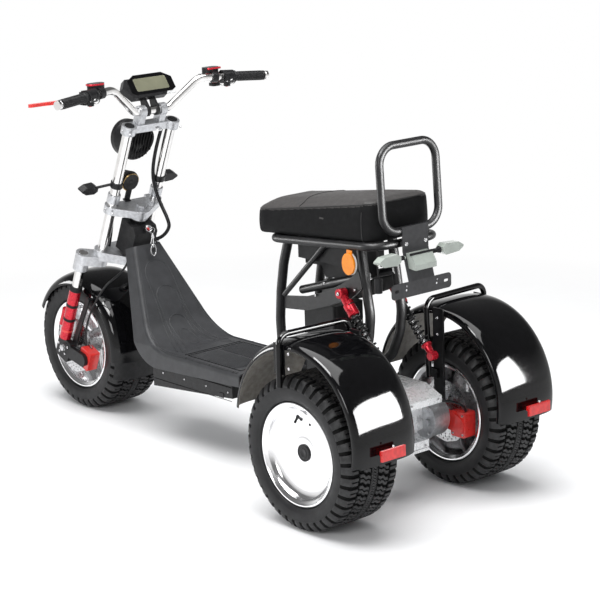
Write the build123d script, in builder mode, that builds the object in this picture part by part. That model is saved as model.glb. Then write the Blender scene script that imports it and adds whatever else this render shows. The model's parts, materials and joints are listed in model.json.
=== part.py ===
from build123d import *
from math import cos, degrees, pi, radians, sin, tan
import os

# Electric tilting trike. Frame: +X forward, +Y left, +Z up, millimetres.
# Origin: on the ground, under the middle of the trike's length.

# ---------------------------------------------------------------- driving dimensions
wheelbase = 1625.0
rear_track = 639.0
rear_overhang = 333.0
seat_gap = 0.3  # between curved pieces clamped or seated on one body
running_gap = 0.05  # radial clearance of a shaft in its bearing

# Wheels
tyre_radius = 248.0
tyre_width = 224.0
tyre_tread_width = 176.0
tyre_bulge_radius = 204.0
lug_count = 40
lug_width = 29.0
lug_height = 9.0
lug_row_gap = 16.0
rim_bead_radius = 152.4
rim_flange_radius = 167.5
rim_width = 206.0
rim_flange_thickness = 8.0
rim_wall = 5.4
hub_radius = 38.0
front_axle_radius = 8.0
rear_stub_radius = 15.0
disc_radius = 105.0
disc_thickness = 4.0

# Steering head and fork, along the raked steering axis
steering_rake = 23.8
fork_offset = 51.4
stem_above_axle = 627.0
tube_forward = 46.7
tube_side = 95.0
tube_radius = 18.5
tube_top = 318.0
clamp_ring = 27.0
head_tube_radius = 29.0
stem_radius = 24.0
leg_forward = 75.0
leg_side = 155.0
stanchion_radius = 17.0
lower_leg_radius = 22.0
lower_leg_length = 218.0
leg_end_above_axle = 27.0
lower_leg_bottom = leg_end_above_axle - stem_above_axle
lower_leg_top = lower_leg_bottom + lower_leg_length
top_clamp_height = 288.0
middle_clamp_height = -40.0
clamp_thickness = 30.0
yoke_top = -200.0
yoke_thickness = 36.0

# Handlebar
bar_radius = 14.0
bar_forward = 60.0
bar_height = 362.0
bar_end_side = 452.0
riser_side = 45.0
grip_length = 128.0
grip_radius = 17.0

# Deck and frame
deck_half_width = 160.0
deck_top = 330.0
deck_wall = 5.0
rail_tube_radius = 14.0
cross_tube_radius = 12.0
rail_side = 85.0
rail_height = 303.0
battery_half_width = 150.0
tilt_axis_height = 300.0
tilt_shaft_radius = 22.0

# Seat
seat_half_width = 140.0
seat_rail_side = 135.0
seat_rail_radius = 13.0
bow_radius = 16.0
front_bow_side = 85.0
rear_bow_side = 68.0

# Rear fenders
fender_radius = 298.0
fender_lip_radius = 268.0
fender_reach_out = 115.5  # from the wheel's middle
fender_reach_in = 132.5
fender_outer = rear_track / 2 + fender_reach_out
fender_inner = rear_track / 2 - fender_reach_in
fender_wall = 3.0
fender_ahead = -4.0
fender_centre_height = 316.0
hoop_radius = 9.5

# ---------------------------------------------------------------- places worked out
axle_height = tyre_radius
rear_axle_x = (rear_overhang - wheelbase - tyre_radius) / 2
front_axle_x = rear_axle_x + wheelbase
wheel_side = rear_track / 2

rake = radians(steering_rake)
axis_up = Vector(-sin(rake), 0, cos(rake))
axis_forward = Vector(cos(rake), 0, sin(rake))
front_axle_point = Vector(front_axle_x, 0, axle_height)
stem_top = front_axle_point - axis_forward * fork_offset + axis_up * stem_above_axle

os.makedirs("parts", exist_ok=True)


# ---------------------------------------------------------------- helpers
def steer(forward, side, height):
    """A point given along the steering axis: ahead of it, to the left, above the stem's top."""
    return stem_top + axis_forward * forward + Vector(0, side, 0) + axis_up * height


def steer_plane(height):
    """A plane square to the steering axis."""
    return Plane(origin=steer(0, 0, height), x_dir=axis_forward, z_dir=axis_up)


def steer_side_plane(side):
    """An upright plane beside the steering axis: x runs forward, y up the axis, normal to the right."""
    return Plane(origin=steer(0, side, 0), x_dir=axis_forward, z_dir=(0, -1, 0))


def side_plane(side):
    """An upright lengthwise plane: x runs forward, y up, normal to the right."""
    return Plane(origin=(0, side, 0), x_dir=(1, 0, 0), z_dir=(0, -1, 0))


def astern(distance):
    """The station a distance ahead of the rear axle."""
    return rear_axle_x + distance


def rod(start, end, radius):
    """A round bar between two points."""
    reach = Vector(*end) - Vector(*start)
    with BuildPart() as bar:
        with BuildSketch(Plane(origin=start, z_dir=reach)):
            Circle(radius)
        extrude(amount=reach.length)
    return bar.part


def bent_bar(points, bend_radii, radius):
    """A round bar along straight runs joined by tangent arcs."""
    with BuildPart() as bar:
        with BuildLine() as route:
            FilletPolyline(*points, radius=bend_radii)
        with BuildSketch(Plane(origin=route.line @ 0, z_dir=route.line % 0)):
            Circle(radius)
        sweep(path=route.line)
    return bar.part


def largest_radii(points):
    """For each corner of a route, the largest arc that its two runs allow."""
    radii = []
    for before, corner, after in zip(points, points[1:], points[2:]):
        arriving = Vector(*corner) - Vector(*before)
        leaving = Vector(*after) - Vector(*corner)
        turn = radians(arriving.get_angle(leaving))
        radii.append(0.45 * min(arriving.length, leaving.length) / tan(turn / 2))
    return radii


def save(piece, label):
    """Label a finished piece and write it."""
    piece.part.label = label
    export_step(piece.part, f"parts/{label}.step")


# ---------------------------------------------------------------- wheels
def wheel_plane(x, side):
    """The plane of a wheel's profile: x runs across the wheel to the left, y out along the radius."""
    return Plane(origin=(x, side, axle_height), x_dir=(0, 1, 0), z_dir=(1, 0, 0))


def wheel_axis(x, side):
    return Axis((x, side, axle_height), (0, 1, 0))


def tyre_slice(x, side, outline, width):
    """A length of tyre section at the top of the wheel, as wide along the tread as given."""
    with BuildPart() as piece:
        with BuildSketch(wheel_plane(x, side)):
            with BuildLine():
                Polyline(*outline, close=True)
            make_face()
        extrude(amount=width / 2, both=True)
    return piece.part


def make_tyre(x, side):
    """A flat-sided tyre: as many equal sectors as lugs in a row, each with a lug on either shoulder."""
    half = tyre_width / 2
    bead = rim_width / 2 - rim_flange_thickness - seat_gap
    inner = rim_bead_radius + seat_gap
    carcass = [
        (bead, inner), (bead, rim_flange_radius + 1), (half, tyre_bulge_radius),
        (tyre_tread_width / 2 + 8, tyre_radius - lug_height - 2),
    ]
    mirrored = [(-across, out) for across, out in reversed(carcass)]
    lug = [
        (lug_row_gap / 2, tyre_radius - lug_height - 4), (lug_row_gap / 2, tyre_radius),
        (tyre_tread_width / 2, tyre_radius - 1.5), (half, tyre_bulge_radius),
    ]
    other_lug = [(-across, out) for across, out in reversed(lug)]
    half_sector = pi / lug_count
    wedge = [(0, 0), (tyre_radius * tan(half_sector), tyre_radius), (-tyre_radius * tan(half_sector), tyre_radius)]
    body = tyre_slice(x, side, carcass + mirrored, 2 * tyre_radius * tan(half_sector))
    lugs = [tyre_slice(x, side, shape, lug_width) for shape in (lug, other_lug)]
    with BuildPart() as sector:
        add(body)
        with BuildSketch(Plane(origin=(x, side, axle_height), x_dir=(1, 0, 0), z_dir=(0, -1, 0))):
            with BuildLine():
                Polyline(*wedge, close=True)
            make_face()
        extrude(amount=half + 1, both=True, mode=Mode.INTERSECT)
        add(lugs)
    turns = [number * 360 / lug_count for number in range(lug_count)]
    with BuildPart() as tyre:
        add([sector.part.rotate(wheel_axis(x, side), turn) for turn in turns])
    return tyre


def barrel_outline():
    """Half of the rim barrel's section, from its middle out over the flange and back inside."""
    edge = rim_width / 2
    inner = rim_bead_radius - rim_wall
    return [
        (0, rim_bead_radius), (edge - rim_flange_thickness, rim_bead_radius),
        (edge - rim_flange_thickness, rim_flange_radius), (edge, rim_flange_radius),
        (edge, rim_flange_radius - 7), (edge - rim_flange_thickness, inner), (0, inner),
    ]


def make_barrel(x, side):
    right = barrel_outline()
    left = [(-across, out) for across, out in reversed(right[1:-1])]
    with BuildPart() as barrel:
        with BuildSketch(wheel_plane(x, side)):
            with BuildLine():
                Polyline(*right, *left, close=True)
            make_face()
        revolve(axis=wheel_axis(x, side))
    return barrel.part


front_disc_side = 118.0
front_fender_half = 121.0
spoke_count = 6
spoke_half_thickness = 14.0
window_inner = 58.0
window_outer = 132.0
window_angle = 34.0


def wheel_face_plane(x, side):
    """A plane square to a wheel's axle, looking at it from the left."""
    return Plane(origin=(x, side, axle_height), x_dir=(-1, 0, 0), z_dir=(0, 1, 0))


def make_front_rim():
    barrel = make_barrel(front_axle_x, 0)
    with BuildPart() as rim:
        add(barrel)
        with BuildSketch(wheel_face_plane(front_axle_x, -spoke_half_thickness)):
            Circle(rim_bead_radius - rim_wall / 2)
            with BuildSketch(mode=Mode.SUBTRACT):
                with PolarLocations(0, spoke_count):
                    with BuildLine():
                        half = radians(window_angle / 2)
                        low_left = (window_inner * cos(half), window_inner * sin(half))
                        low_right = (window_inner * cos(half), -window_inner * sin(half))
                        high_left = (window_outer * cos(half), window_outer * sin(half))
                        high_right = (window_outer * cos(half), -window_outer * sin(half))
                        Line(low_left, low_right)
                        Line(low_right, high_right)
                        ThreePointArc(high_right, (window_outer, 0), high_left)
                        Line(high_left, low_left)
                    make_face()
        extrude(amount=2 * spoke_half_thickness)
        with BuildSketch(wheel_face_plane(front_axle_x, -front_disc_side + 30)):
            Circle(hub_radius)
        extrude(amount=2 * front_disc_side - 30)
        with BuildSketch(wheel_face_plane(front_axle_x, -front_disc_side + 30)):
            Circle(front_axle_radius + running_gap)
        extrude(amount=2 * front_disc_side, mode=Mode.SUBTRACT)
    return rim


front_tyre = make_tyre(front_axle_x, 0)
save(front_tyre, "front_tyre")
front_rim = make_front_rim()
save(front_rim, "front_rim")

with BuildPart() as front_disc:
    with BuildSketch(wheel_face_plane(front_axle_x, front_disc_side)):
        Circle(disc_radius)
        Circle(20, mode=Mode.SUBTRACT)
    extrude(amount=disc_thickness)
save(front_disc, "front_disc")

# Rear rims: a polished dish on the outside, ribs behind it.
dish_recess = 37.0
dish_wall = 6.0
dish_edge_radius = 150.0
dish_hub_radius = 45.0
rear_disc_inset = 97.5  # from the wheel's middle
rear_disc_side = wheel_side - rear_disc_inset
rib_count = 5
rear_bore_end = 45.0


def make_rear_rim(sign):
    """A rear rim; sign is +1 on the left and -1 on the right."""
    side = sign * wheel_side
    edge = rim_width / 2
    barrel = make_barrel(rear_axle_x, side)
    hub_end = rear_disc_side + disc_thickness - wheel_side
    dish = [
        (edge - 6, dish_edge_radius), (edge - dish_recess, dish_hub_radius), (edge - dish_recess, 0),
        (edge - dish_recess - dish_wall, 0), (edge - dish_recess - dish_wall, dish_hub_radius),
        (edge - 6 - dish_wall, dish_edge_radius),
    ]
    with BuildPart() as rim:
        add(barrel)
        with BuildSketch(wheel_plane(rear_axle_x, side)):
            with BuildLine():
                Polyline(*[(sign * across, out) for across, out in dish], close=True)
            make_face()
        revolve(axis=wheel_axis(rear_axle_x, side))
        with BuildSketch(Plane(origin=(rear_axle_x, side + sign * hub_end, axle_height),
                               x_dir=(1, 0, 0), z_dir=(0, sign, 0))):
            Circle(hub_radius)
        extrude(amount=edge - dish_recess - hub_end)
        with BuildSketch(Plane(origin=(rear_axle_x, side + sign * 20, axle_height),
                               x_dir=(1, 0, 0), z_dir=(0, sign, 0))):
            with PolarLocations((hub_radius + rim_bead_radius) / 2 - 3, rib_count):
                Rectangle(rim_bead_radius - hub_radius, 16)
        extrude(amount=edge - dish_recess - dish_wall / 2 - 20)
        with BuildSketch(Plane(origin=(rear_axle_x, side + sign * hub_end, axle_height),
                               x_dir=(1, 0, 0), z_dir=(0, sign, 0))):
            Circle(rear_stub_radius + running_gap)
        extrude(amount=rear_bore_end - hub_end, mode=Mode.SUBTRACT)
        with BuildSketch(Plane(origin=(rear_axle_x, side + sign * (edge - dish_recess), axle_height),
                               x_dir=(1, 0, 0), z_dir=(0, sign, 0))):
            Circle(28)
        extrude(amount=8)
    return rim


def make_rear_disc(sign):
    with BuildPart() as disc:
        with BuildSketch(Plane(origin=(rear_axle_x, sign * rear_disc_side, axle_height),
                               x_dir=(1, 0, 0), z_dir=(0, sign, 0))):
            Circle(disc_radius)
            Circle(20, mode=Mode.SUBTRACT)
        extrude(amount=disc_thickness)
    return disc


for hand, sign in (("left", 1), ("right", -1)):
    save(make_tyre(rear_axle_x, sign * wheel_side), f"rear_tyre_{hand}")
    save(make_rear_rim(sign), f"rear_rim_{hand}")
    save(make_rear_disc(sign), f"rear_disc_{hand}")

# ---------------------------------------------------------------- front fork
with BuildPart() as fork_tubes:
    with BuildSketch(steer_plane(yoke_top - 62)):
        with Locations((tube_forward, tube_side), (tube_forward, -tube_side)):
            Circle(tube_radius)
    extrude(amount=tube_top - yoke_top + 62)
save(fork_tubes, "fork_tubes")

tube_places = [(tube_forward, tube_side), (tube_forward, -tube_side)]
leg_places = [(leg_forward, leg_side), (leg_forward, -leg_side)]

riser_width = 26.0
riser_collar = 22.0
with BuildPart() as top_clamp:
    with BuildSketch(steer_plane(top_clamp_height)):
        with Locations(*tube_places):
            Circle(clamp_ring)
        with Locations((tube_forward + 8, 0)):
            Rectangle(34, 2 * tube_side)
        with Locations(*tube_places):
            Circle(tube_radius + seat_gap, mode=Mode.SUBTRACT)
    extrude(amount=clamp_thickness)
    for side in (riser_side, -riser_side):
        with BuildSketch(steer_side_plane(side)):
            with Locations((bar_forward, (top_clamp_height + clamp_thickness + bar_height) / 2 - 2)):
                Rectangle(34, bar_height - top_clamp_height - clamp_thickness + 4)
            with Locations((bar_forward, bar_height)):
                Circle(riser_collar)
                Circle(bar_radius + seat_gap, mode=Mode.SUBTRACT)
        extrude(amount=riser_width / 2, both=True)
save(top_clamp, "top_clamp")

with BuildPart() as middle_clamp:
    with BuildSketch(steer_plane(middle_clamp_height)):
        with Locations(*tube_places, (0, 0)):
            Circle(clamp_ring)
        Circle(36)
        make_hull()
        with Locations((tube_forward + 40, 0)):
            Rectangle(54, 2 * (tube_side - clamp_ring), mode=Mode.SUBTRACT)
        with Locations(*tube_places):
            Circle(tube_radius + seat_gap, mode=Mode.SUBTRACT)
    extrude(amount=clamp_thickness)
    with BuildSketch(steer_plane(middle_clamp_height - 10)):
        Circle(33)
    extrude(amount=10)
    with BuildSketch(steer_plane(middle_clamp_height + clamp_thickness)):
        RegularPolygon(19, 6)
    extrude(amount=14)
save(middle_clamp, "middle_clamp")

wing_top = yoke_top - 22
wing_thickness = 40.0
lug_length = 70.0
with BuildPart() as yoke:
    with BuildSketch(steer_plane(yoke_top)):
        with Locations(*tube_places):
            Circle(30)
        Circle(45)
        make_hull()
    extrude(amount=-yoke_thickness)
    for sign in (1, -1):
        with BuildSketch(steer_plane(wing_top)):
            with Locations((tube_forward, sign * tube_side)):
                Circle(28)
            with Locations((leg_forward, sign * leg_side)):
                Circle(28)
            make_hull()
        extrude(amount=-wing_thickness)
        with BuildSketch(steer_plane(wing_top)):
            with Locations((leg_forward, sign * leg_side)):
                Circle(28)
        extrude(amount=-lug_length)
    with BuildSketch(steer_plane(yoke_top)):
        Circle(stem_radius)
    extrude(amount=middle_clamp_height - 10 - yoke_top)
    with BuildSketch(steer_plane(yoke_top)):
        with Locations(*tube_places):
            Circle(tube_radius + seat_gap)
    extrude(amount=-62 - seat_gap, mode=Mode.SUBTRACT)
    with BuildSketch(steer_plane(wing_top)):
        with Locations(*leg_places):
            Circle(stanchion_radius + seat_gap)
    extrude(amount=-lug_length, mode=Mode.SUBTRACT)
save(yoke, "yoke")

with BuildPart() as stanchions:
    with BuildSketch(steer_plane(lower_leg_top)):
        with Locations(*leg_places):
            Circle(stanchion_radius)
    extrude(amount=wing_top - lower_leg_top)
save(stanchions, "stanchions")

reservoir_ahead = 34.0
reservoir_radius = 11.0
with BuildPart() as lower_legs:
    with BuildSketch(steer_plane(lower_leg_bottom)):
        with Locations(*leg_places):
            Circle(lower_leg_radius)
    extrude(amount=lower_leg_top - lower_leg_bottom)
    with BuildSketch(steer_plane(lower_leg_bottom + 38)):
        with Locations(*[(leg_forward + reservoir_ahead, side) for side in (leg_side, -leg_side)]):
            Circle(reservoir_radius)
    extrude(amount=64)
    with BuildSketch(steer_plane(lower_leg_bottom + 44)):
        with Locations(*[(leg_forward + reservoir_ahead / 2, side) for side in (leg_side, -leg_side)]):
            Rectangle(reservoir_ahead, 12)
    extrude(amount=16)
save(lower_legs, "lower_legs")

bracket_inner = 143.0
bracket_outer = 165.0
bracket_below_axle = 57.0
bracket_bottom = -stem_above_axle - bracket_below_axle
stay_foot = (34.0, lower_leg_bottom - 12)
stay_head = (13.0, 229 - stem_above_axle)
axle_bracket_middle = (bracket_bottom + lower_leg_bottom) / 2
caliper_forward = -51.0
caliper_outer = 150.0
caliper_inner = 107.0
pad_gap = 2.0
stay_inner = 137.0
with BuildPart() as axle_brackets:
    with BuildSketch(steer_side_plane(bracket_outer)):
        with Locations((leg_forward - 13, axle_bracket_middle)):
            RectangleRounded(78, lower_leg_bottom - bracket_bottom, 12)
        with Locations((fork_offset, -stem_above_axle)):
            Circle(front_axle_radius + seat_gap, mode=Mode.SUBTRACT)
    extrude(amount=bracket_outer - bracket_inner)
    with BuildSketch(steer_side_plane(bracket_inner)):
        with Locations(stay_foot, stay_head):
            Circle(11)
        make_hull()
    extrude(amount=bracket_inner - stay_inner)
    with BuildSketch(steer_side_plane(bracket_inner)):
        with Locations(stay_head):
            Circle(7)
    extrude(amount=bracket_inner - front_fender_half - seat_gap)
    mirror(about=Plane.XZ)
    with BuildSketch(steer_side_plane(bracket_outer)):
        with Locations((leg_forward - 13, axle_bracket_middle), (caliper_forward, axle_bracket_middle + 22)):
            Circle(24)
        make_hull()
    extrude(amount=bracket_outer - caliper_outer - seat_gap)
    with BuildSketch(steer_side_plane(bracket_outer)):
        with Locations((fork_offset, -stem_above_axle)):
            Circle(front_axle_radius + seat_gap)
    extrude(amount=bracket_outer - bracket_inner, mode=Mode.SUBTRACT)
save(axle_brackets, "axle_brackets")

with BuildPart() as front_axle:
    with BuildSketch(wheel_face_plane(front_axle_x, -bracket_outer - 12)):
        Circle(front_axle_radius)
    extrude(amount=2 * bracket_outer + 24)
    for start in (-bracket_outer - 12, bracket_outer + seat_gap):
        with BuildSketch(wheel_face_plane(front_axle_x, start)):
            RegularPolygon(14, 6)
        extrude(amount=12 - seat_gap)
save(front_axle, "front_axle")

with BuildPart() as front_caliper:
    with BuildSketch(steer_side_plane(caliper_outer)):
        with Locations((caliper_forward, axle_bracket_middle + 24)):
            RectangleRounded(62, 76, 6)
    extrude(amount=caliper_outer - caliper_inner)
    with BuildSketch(side_plane(front_disc_side + disc_thickness + pad_gap)):
        with Locations((front_axle_x, axle_height)):
            Circle(disc_radius + 4)
    extrude(amount=disc_thickness + 2 * pad_gap, mode=Mode.SUBTRACT)
save(front_caliper, "front_caliper")

# ---------------------------------------------------------------- front fender and mud flap
def fender_section(half, crown, lip, wall, squareness=2.6, steps=10):
    """Points of a fender's section: across, out along the radius; outer skin then inner skin."""
    def skin(reach, top):
        points = []
        for step in range(-steps, steps + 1):
            turn = radians(90 * step / steps)
            across = reach * abs(sin(turn)) ** (2 / squareness) * (1 if step >= 0 else -1)
            points.append((across, lip + (top - lip) * cos(turn) ** (2 / squareness)))
        return points
    return skin(half, crown), skin(half - wall, crown - wall)


def fender_shell(centre, outer, inner, start_angle, end_angle):
    """A shell swept round a wheel's axis from one angle above the forward line to another."""
    with BuildPart() as shell:
        turned = Plane(origin=centre, x_dir=(0, 1, 0),
                       z_dir=(sin(radians(start_angle)), 0, -cos(radians(start_angle))))
        with BuildSketch(turned):
            with BuildLine():
                Spline(*outer)
                Spline(*inner)
                Line(outer[0], inner[0])
                Line(outer[-1], inner[-1])
            make_face()
        revolve(axis=Axis(centre, (0, -1, 0)), revolution_arc=end_angle - start_angle)
    return shell.part


front_fender_crown = 272.0
front_fender_lip = 226.0
front_fender_wall = 3.0
front_fender_start = 28.0
front_fender_end = 187.0
flap_start = 168.0
flap_end = 203.0
flap_thickness = 4.0
flap_edge_radius = 242.0

outer, inner = fender_section(front_fender_half, front_fender_crown, front_fender_lip, front_fender_wall)
with BuildPart() as front_fender:
    add(fender_shell((front_axle_x, 0, axle_height), outer, inner, front_fender_start, front_fender_end))
save(front_fender, "front_fender")

flap_inset = front_fender_wall + 0.4
outer, inner = fender_section(front_fender_half - flap_inset, front_fender_crown - flap_inset,
                              front_fender_lip, flap_thickness)
with BuildPart() as mud_flap:
    add(fender_shell((front_axle_x, 0, axle_height), outer, inner, flap_start, flap_end))
    with BuildSketch(side_plane(150)):
        with Locations((front_axle_x, axle_height)):
            Circle(flap_edge_radius)
    extrude(amount=300, mode=Mode.SUBTRACT)
save(mud_flap, "mud_flap")

# ---------------------------------------------------------------- handlebar and controls
bar_bend_side = 190.0
bar_end_route = (9, bar_end_side, 473)
bar_bend_route = (66, bar_bend_side, 466)
bar_middle_route = (bar_forward, 75, bar_height)


def other_side(place):
    return (place[0], -place[1], place[2])


def along_bar(sign, distance):
    """A point on the straight outer run of the handlebar, measured inward from its end."""
    end = steer(bar_end_route[0], sign * bar_end_route[1], bar_end_route[2])
    bend = steer(bar_bend_route[0], sign * bar_bend_route[1], bar_bend_route[2])
    return end + (bend - end).normalized() * distance


bar_route = [
    bar_end_route, bar_bend_route, bar_middle_route,
    other_side(bar_middle_route), other_side(bar_bend_route), other_side(bar_end_route),
]
bar_cap_length = 10.0
with BuildPart() as handlebar:
    add(bent_bar([steer(*place) for place in bar_route], [60, 40, 40, 60], bar_radius))
    for sign in (1, -1):
        add(rod(along_bar(sign, -bar_cap_length), along_bar(sign, 0), grip_radius - 1))
save(handlebar, "handlebar")

housing_radius = 24.0
housing_length = 46.0
grip_gap = 4.0


def sleeves(start, length, radius):
    """A pair of sleeves round the handlebar's outer runs."""
    with BuildPart() as pair:
        for sign in (1, -1):
            add(rod(along_bar(sign, start), along_bar(sign, start + length), radius))
            add(rod(along_bar(sign, start - 1), along_bar(sign, start + length + 1), bar_radius + seat_gap),
                mode=Mode.SUBTRACT)
    return pair.part


with BuildPart() as grips:
    add(sleeves(seat_gap, grip_length, grip_radius))
save(grips, "grips")

with BuildPart() as switch_housings:
    for sign in (1, -1):
        middle = along_bar(sign, grip_length + grip_gap + housing_length / 2)
        add(rod(middle, middle + Vector(0, 0, -34), 12))
        add(rod(along_bar(sign, grip_length + grip_gap),
                along_bar(sign, grip_length + grip_gap + housing_length), housing_radius))
        add(rod(along_bar(sign, grip_length), along_bar(sign, grip_length + 2 * grip_gap + housing_length),
                bar_radius + seat_gap), mode=Mode.SUBTRACT)
save(switch_housings, "switch_housings")

perch_distance = 206.0
perch_length = 22.0
perch_radius = 20.0
lever_forward = 83.5
lever_side = 285.0
lever_height = 430.0
lever_thickness = 11.0
lever_gap = 0.6
lever_pin_radius = 4.0
reservoir_width = 36.0
reservoir_length = 66.0


def lever_plane(rise):
    """A level plane at the levers' pivots, raised by a distance."""
    return Plane(origin=steer(lever_forward, 0, lever_height) + Vector(0, 0, rise), x_dir=(1, 0, 0),
                 z_dir=(0, 0, 1))


body_middle = 257.0
body_length = 86.0
with BuildPart() as master_cylinders:
    for sign in (1, -1):
        add(rod(along_bar(sign, perch_distance - perch_length / 2),
                along_bar(sign, perch_distance + perch_length / 2), perch_radius))
        with BuildSketch(lever_plane(9)):
            with Locations((-14, sign * body_middle)):
                Rectangle(30, body_length)
        extrude(amount=24)
        with BuildSketch(lever_plane(-17)):
            with Locations((0, sign * lever_side)):
                RectangleRounded(32, 34, 8)
        extrude(amount=44)
        with BuildSketch(lever_plane(28)):
            with Locations((-20, sign * 252)):
                SlotOverall(reservoir_length, reservoir_width, rotation=90)
        extrude(amount=28)
        add(rod(along_bar(sign, perch_distance - 30), along_bar(sign, perch_distance + 44),
                bar_radius + seat_gap + 0.1), mode=Mode.SUBTRACT)
        add(rod(along_bar(sign, grip_length), along_bar(sign, grip_length + 2 * grip_gap + housing_length),
                housing_radius + 1), mode=Mode.SUBTRACT)
        with BuildSketch(lever_plane(-lever_thickness / 2 - lever_gap)):
            with Locations((0, sign * lever_side)):
                Rectangle(60, 60)
        extrude(amount=lever_thickness + 2 * lever_gap, mode=Mode.SUBTRACT)
        with BuildSketch(lever_plane(-17)):
            with Locations((0, sign * lever_side)):
                Circle(lever_pin_radius)
        extrude(amount=40)
save(master_cylinders, "master_cylinders")

lever_knee = (20.0, 342.0)
lever_elbow = (34.0, 430.0)
lever_tip = (37.0, 486.0)
lever_stretches = [((0, lever_side), 11, lever_knee, 10), (lever_knee, 10, lever_elbow, 8),
                   (lever_elbow, 8, lever_tip, 8)]
with BuildPart() as brake_levers:
    for sign in (1, -1):
        for start, start_radius, end, end_radius in lever_stretches:
            with BuildSketch(lever_plane(-lever_thickness / 2)):
                with Locations((start[0], sign * start[1])):
                    Circle(start_radius)
                with Locations((end[0], sign * end[1])):
                    Circle(end_radius)
                make_hull()
            extrude(amount=lever_thickness)
        with BuildSketch(lever_plane(-lever_thickness / 2)):
            with Locations((0, sign * lever_side)):
                Circle(lever_pin_radius + seat_gap)
        extrude(amount=lever_thickness, mode=Mode.SUBTRACT)
save(brake_levers, "brake_levers")

display_forward = 112.3
display_height = 428.1
display_half = 103.0
display_thickness = 25.0
display_tilt = 54.0
display_face = Vector(-sin(radians(display_tilt)), 0, cos(radians(display_tilt)))
with BuildPart() as display:
    with BuildSketch(Plane(origin=steer(display_forward, 0, display_height), x_dir=(0, -1, 0),
                           z_dir=display_face)):
        with BuildLine():
            Polyline((-display_half, 6), (-80, 39), (80, 39), (display_half, 6), (72, -39), (-72, -39),
                     close=True)
        make_face()
    extrude(amount=-display_thickness)
    for side in (20, -20):
        with BuildSketch(steer_side_plane(side)):
            with Locations((bar_forward, bar_height)):
                Circle(20)
            with Locations((display_forward - 6, display_height - 28)):
                Circle(9)
            make_hull()
        extrude(amount=5, both=True)
    with BuildSketch(steer_side_plane(60)):
        with Locations((bar_forward, bar_height)):
            Circle(bar_radius + seat_gap)
    extrude(amount=120, mode=Mode.SUBTRACT)
save(display, "display")

# ---------------------------------------------------------------- lamps and horn on the steering head
headlight_place = steer(126.9, 0, 208.5)
headlight_radius = 68.0
headlight_depth = 80.0
headlight_ring = 20.0
headlight_wall = 5.0
lens_thickness = 6.0
clamp_front = tube_forward + 8 + 17


def lamp_point(ahead, out):
    """A point of the headlight's section, in the lengthwise plane."""
    return (headlight_place.X + ahead, headlight_place.Z + out)


lamp_front = headlight_depth / 2
with BuildPart() as headlight:
    with BuildSketch(side_plane(0)):
        with BuildLine():
            Polyline(lamp_point(-lamp_front, 0), lamp_point(-lamp_front, 30), lamp_point(-24, 50),
                     lamp_point(0, 62), lamp_point(lamp_front - headlight_ring, headlight_radius),
                     lamp_point(lamp_front, headlight_radius),
                     lamp_point(lamp_front, headlight_radius - headlight_wall),
                     lamp_point(lamp_front - lens_thickness - 4, headlight_radius - headlight_wall),
                     lamp_point(lamp_front - lens_thickness - 4, 0), close=True)
        make_face()
    revolve(axis=Axis(headlight_place, (1, 0, 0)))
    with BuildSketch(steer_side_plane(16)):
        with BuildLine():
            Polyline((clamp_front, 314), (clamp_front, 292), (128, 250), (142, 262), close=True)
        make_face()
    extrude(amount=32)
save(headlight, "headlight")

with BuildPart() as headlight_lens:
    with BuildSketch(Plane(origin=headlight_place + Vector(lamp_front - lens_thickness - 4 + seat_gap, 0, 0),
                           z_dir=(1, 0, 0))):
        Circle(headlight_radius - headlight_wall - seat_gap)
    extrude(amount=lens_thickness)
save(headlight_lens, "headlight_lens")

horn_place = steer(76, 22, 65.9)
horn_radius = 34.5
horn_depth = 36.0
horn_strip_forward = 58.0
clamp_top = middle_clamp_height + clamp_thickness
with BuildPart() as horn:
    with BuildSketch(Plane(origin=horn_place + Vector(-horn_depth / 2, 0, 0), z_dir=(1, 0, 0))):
        Circle(horn_radius)
    extrude(amount=horn_depth)
    with BuildSketch(steer_side_plane(34)):
        with Locations((horn_strip_forward, (clamp_top + 56) / 2)):
            Rectangle(4, 56 - clamp_top)
        with Locations((horn_strip_forward, clamp_top + 2)):
            Rectangle(20, 4)
    extrude(amount=24)
save(horn, "horn")

indicator_height = 76.0
indicator_stem = 5.0
with BuildPart() as front_indicators:
    for sign in (1, -1):
        with BuildSketch(steer_plane(indicator_height - 10)):
            with Locations((tube_forward, sign * tube_side)):
                Circle(tube_radius + 4)
        extrude(amount=20)
        add(rod(steer(tube_forward + 12, sign * (tube_side + 17), indicator_height - 4),
                steer(92, sign * 152, 44), indicator_stem))
        with BuildSketch(Plane(origin=steer(80, 0, 42), x_dir=(0, sign, 0), z_dir=axis_forward * sign)):
            with BuildLine():
                Polyline((146, 8), (160, 17), (195, 15), (214, 3), (214, -3), (195, -15), (160, -17),
                         (146, -8), close=True)
            make_face()
        extrude(amount=sign * 30)
        with BuildSketch(steer_plane(indicator_height - 11)):
            with Locations((tube_forward, sign * tube_side)):
                Circle(tube_radius + seat_gap)
        extrude(amount=22, mode=Mode.SUBTRACT)
save(front_indicators, "front_indicators")

# ---------------------------------------------------------------- hoses and wiring at the head
hose_radius = 4.0
harness_radius = 6.5
conduit_radius = 4.5


def cord(places, radius, label):
    """A flexible line along a route, with the largest bends its runs allow."""
    radii = largest_radii(places)
    print(label, "bend radii", [round(value) for value in radii], "limit", round(10 * radius))
    with BuildPart() as line:
        add(bent_bar(places, radii, radius))
    save(line, label)


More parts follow.
